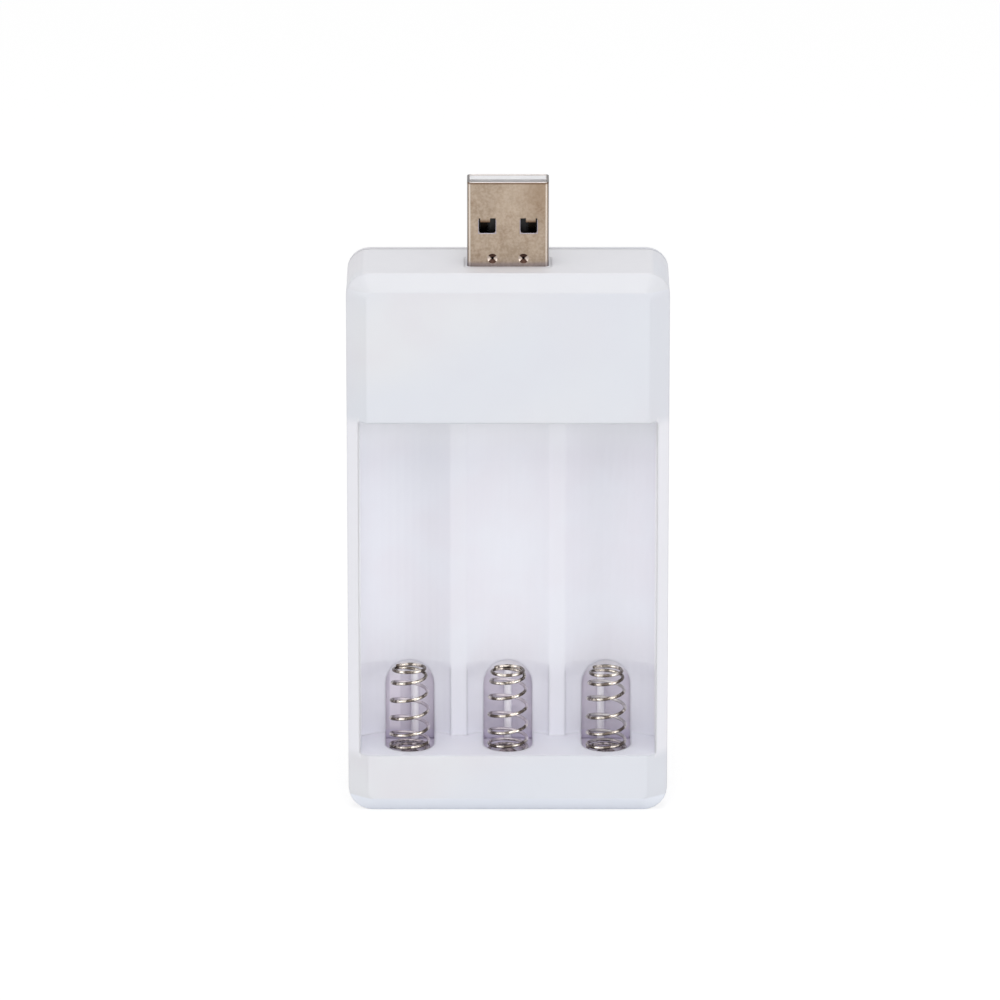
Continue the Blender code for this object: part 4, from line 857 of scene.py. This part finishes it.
def choose_by_ray(tree, lighting, seen, output):
    """Shows one shader to the camera, reflections and glass, and lights the scene with the other."""
    path = tree.nodes.new("ShaderNodeLightPath")
    direct = path.outputs["Is Camera Ray"]
    for kind in ("Is Glossy Ray", "Is Transmission Ray"):
        either = tree.nodes.new("ShaderNodeMath")
        either.operation = "MAXIMUM"
        tree.links.new(direct, either.inputs[0])
        tree.links.new(path.outputs[kind], either.inputs[1])
        direct = either.outputs[0]
    mix = tree.nodes.new("ShaderNodeMixShader")
    for source, target in zip((direct, lighting, seen), mix.inputs):
        tree.links.new(source, target)
    tree.links.new(mix.outputs[0], tree.nodes[output].inputs["Surface"])


LAMP_DISTANCE = 1.15
LAMPS = (
    # name, azimuth and elevation in degrees, side in metres, power in watts
    ("front_light", 0, 8, 0.6, 1.35),
    ("upper_light", 0, 55, 0.6, 1.7),
    ("top_light", 0, 84, 0.6, 2.5),
    ("right_light", 52, 9, 0.5, 2.25),
    ("left_light", -60, 13, 0.5, 1.9),
)


def build_lights():
    """Soft square lamps round the front and above, each aimed at the object's middle."""
    middle = Vector(MIDDLE)
    for name, azimuth, elevation, side, power in LAMPS:
        a, e = math.radians(azimuth), math.radians(elevation)
        data = bpy.data.lights.new(name, "AREA")
        data.shape = "SQUARE"
        data.size = side
        data.energy = power
        light = bpy.data.objects.new(name, data)
        light.location = middle + LAMP_DISTANCE * Vector(
            (math.sin(a) * math.cos(e), -math.cos(a) * math.cos(e), math.sin(e)))
        light.rotation_mode = "QUATERNION"
        light.rotation_quaternion = (middle - light.location).to_track_quat("-Z", "Y")
        bpy.context.scene.collection.objects.link(light)


CAMERA_DISTANCE = 1.30
CAMERA_ELEVATION = 17.88
CAMERA_ASIDE = -1.17 * MM
AIM_HEIGHT = 46.53 * MM
LENS, SENSOR = 315.4, 36.0
CLIP_NEAR, CLIP_FAR = 0.05, 50.0


def build_camera():
    """Looks at the front from above; the object stands a little right of the frame's middle."""
    tilt = math.radians(CAMERA_ELEVATION)
    data = bpy.data.cameras.new("camera")
    data.sensor_width = SENSOR
    data.lens = LENS
    data.clip_start, data.clip_end = CLIP_NEAR, CLIP_FAR
    camera = bpy.data.objects.new("camera", data)
    camera.location = (CAMERA_ASIDE, -CAMERA_DISTANCE * math.cos(tilt),
                       AIM_HEIGHT + CAMERA_DISTANCE * math.sin(tilt))
    camera.rotation_euler = (math.pi / 2 - tilt, 0, 0)
    bpy.context.scene.collection.objects.link(camera)
    bpy.context.scene.camera = camera


build_camera()
node_finishes = dress_nodes()
for number in (1, 2, 3):
    build_spring(number, node_finishes["spring"])
# The collar takes the front shell's painted light and shade.
build_plug_collar(moulded_white("plug_collar_white", front=True, rounding=0.04 * MM))
build_tongue_tip(node_finishes["usb_tongue"])
build_seam_joint(node_finishes["usb_shell"])
build_spring_plates(plate_plastic())
build_floor()
build_world()
build_lights()
bpy.context.scene.view_settings.view_transform = "Standard"
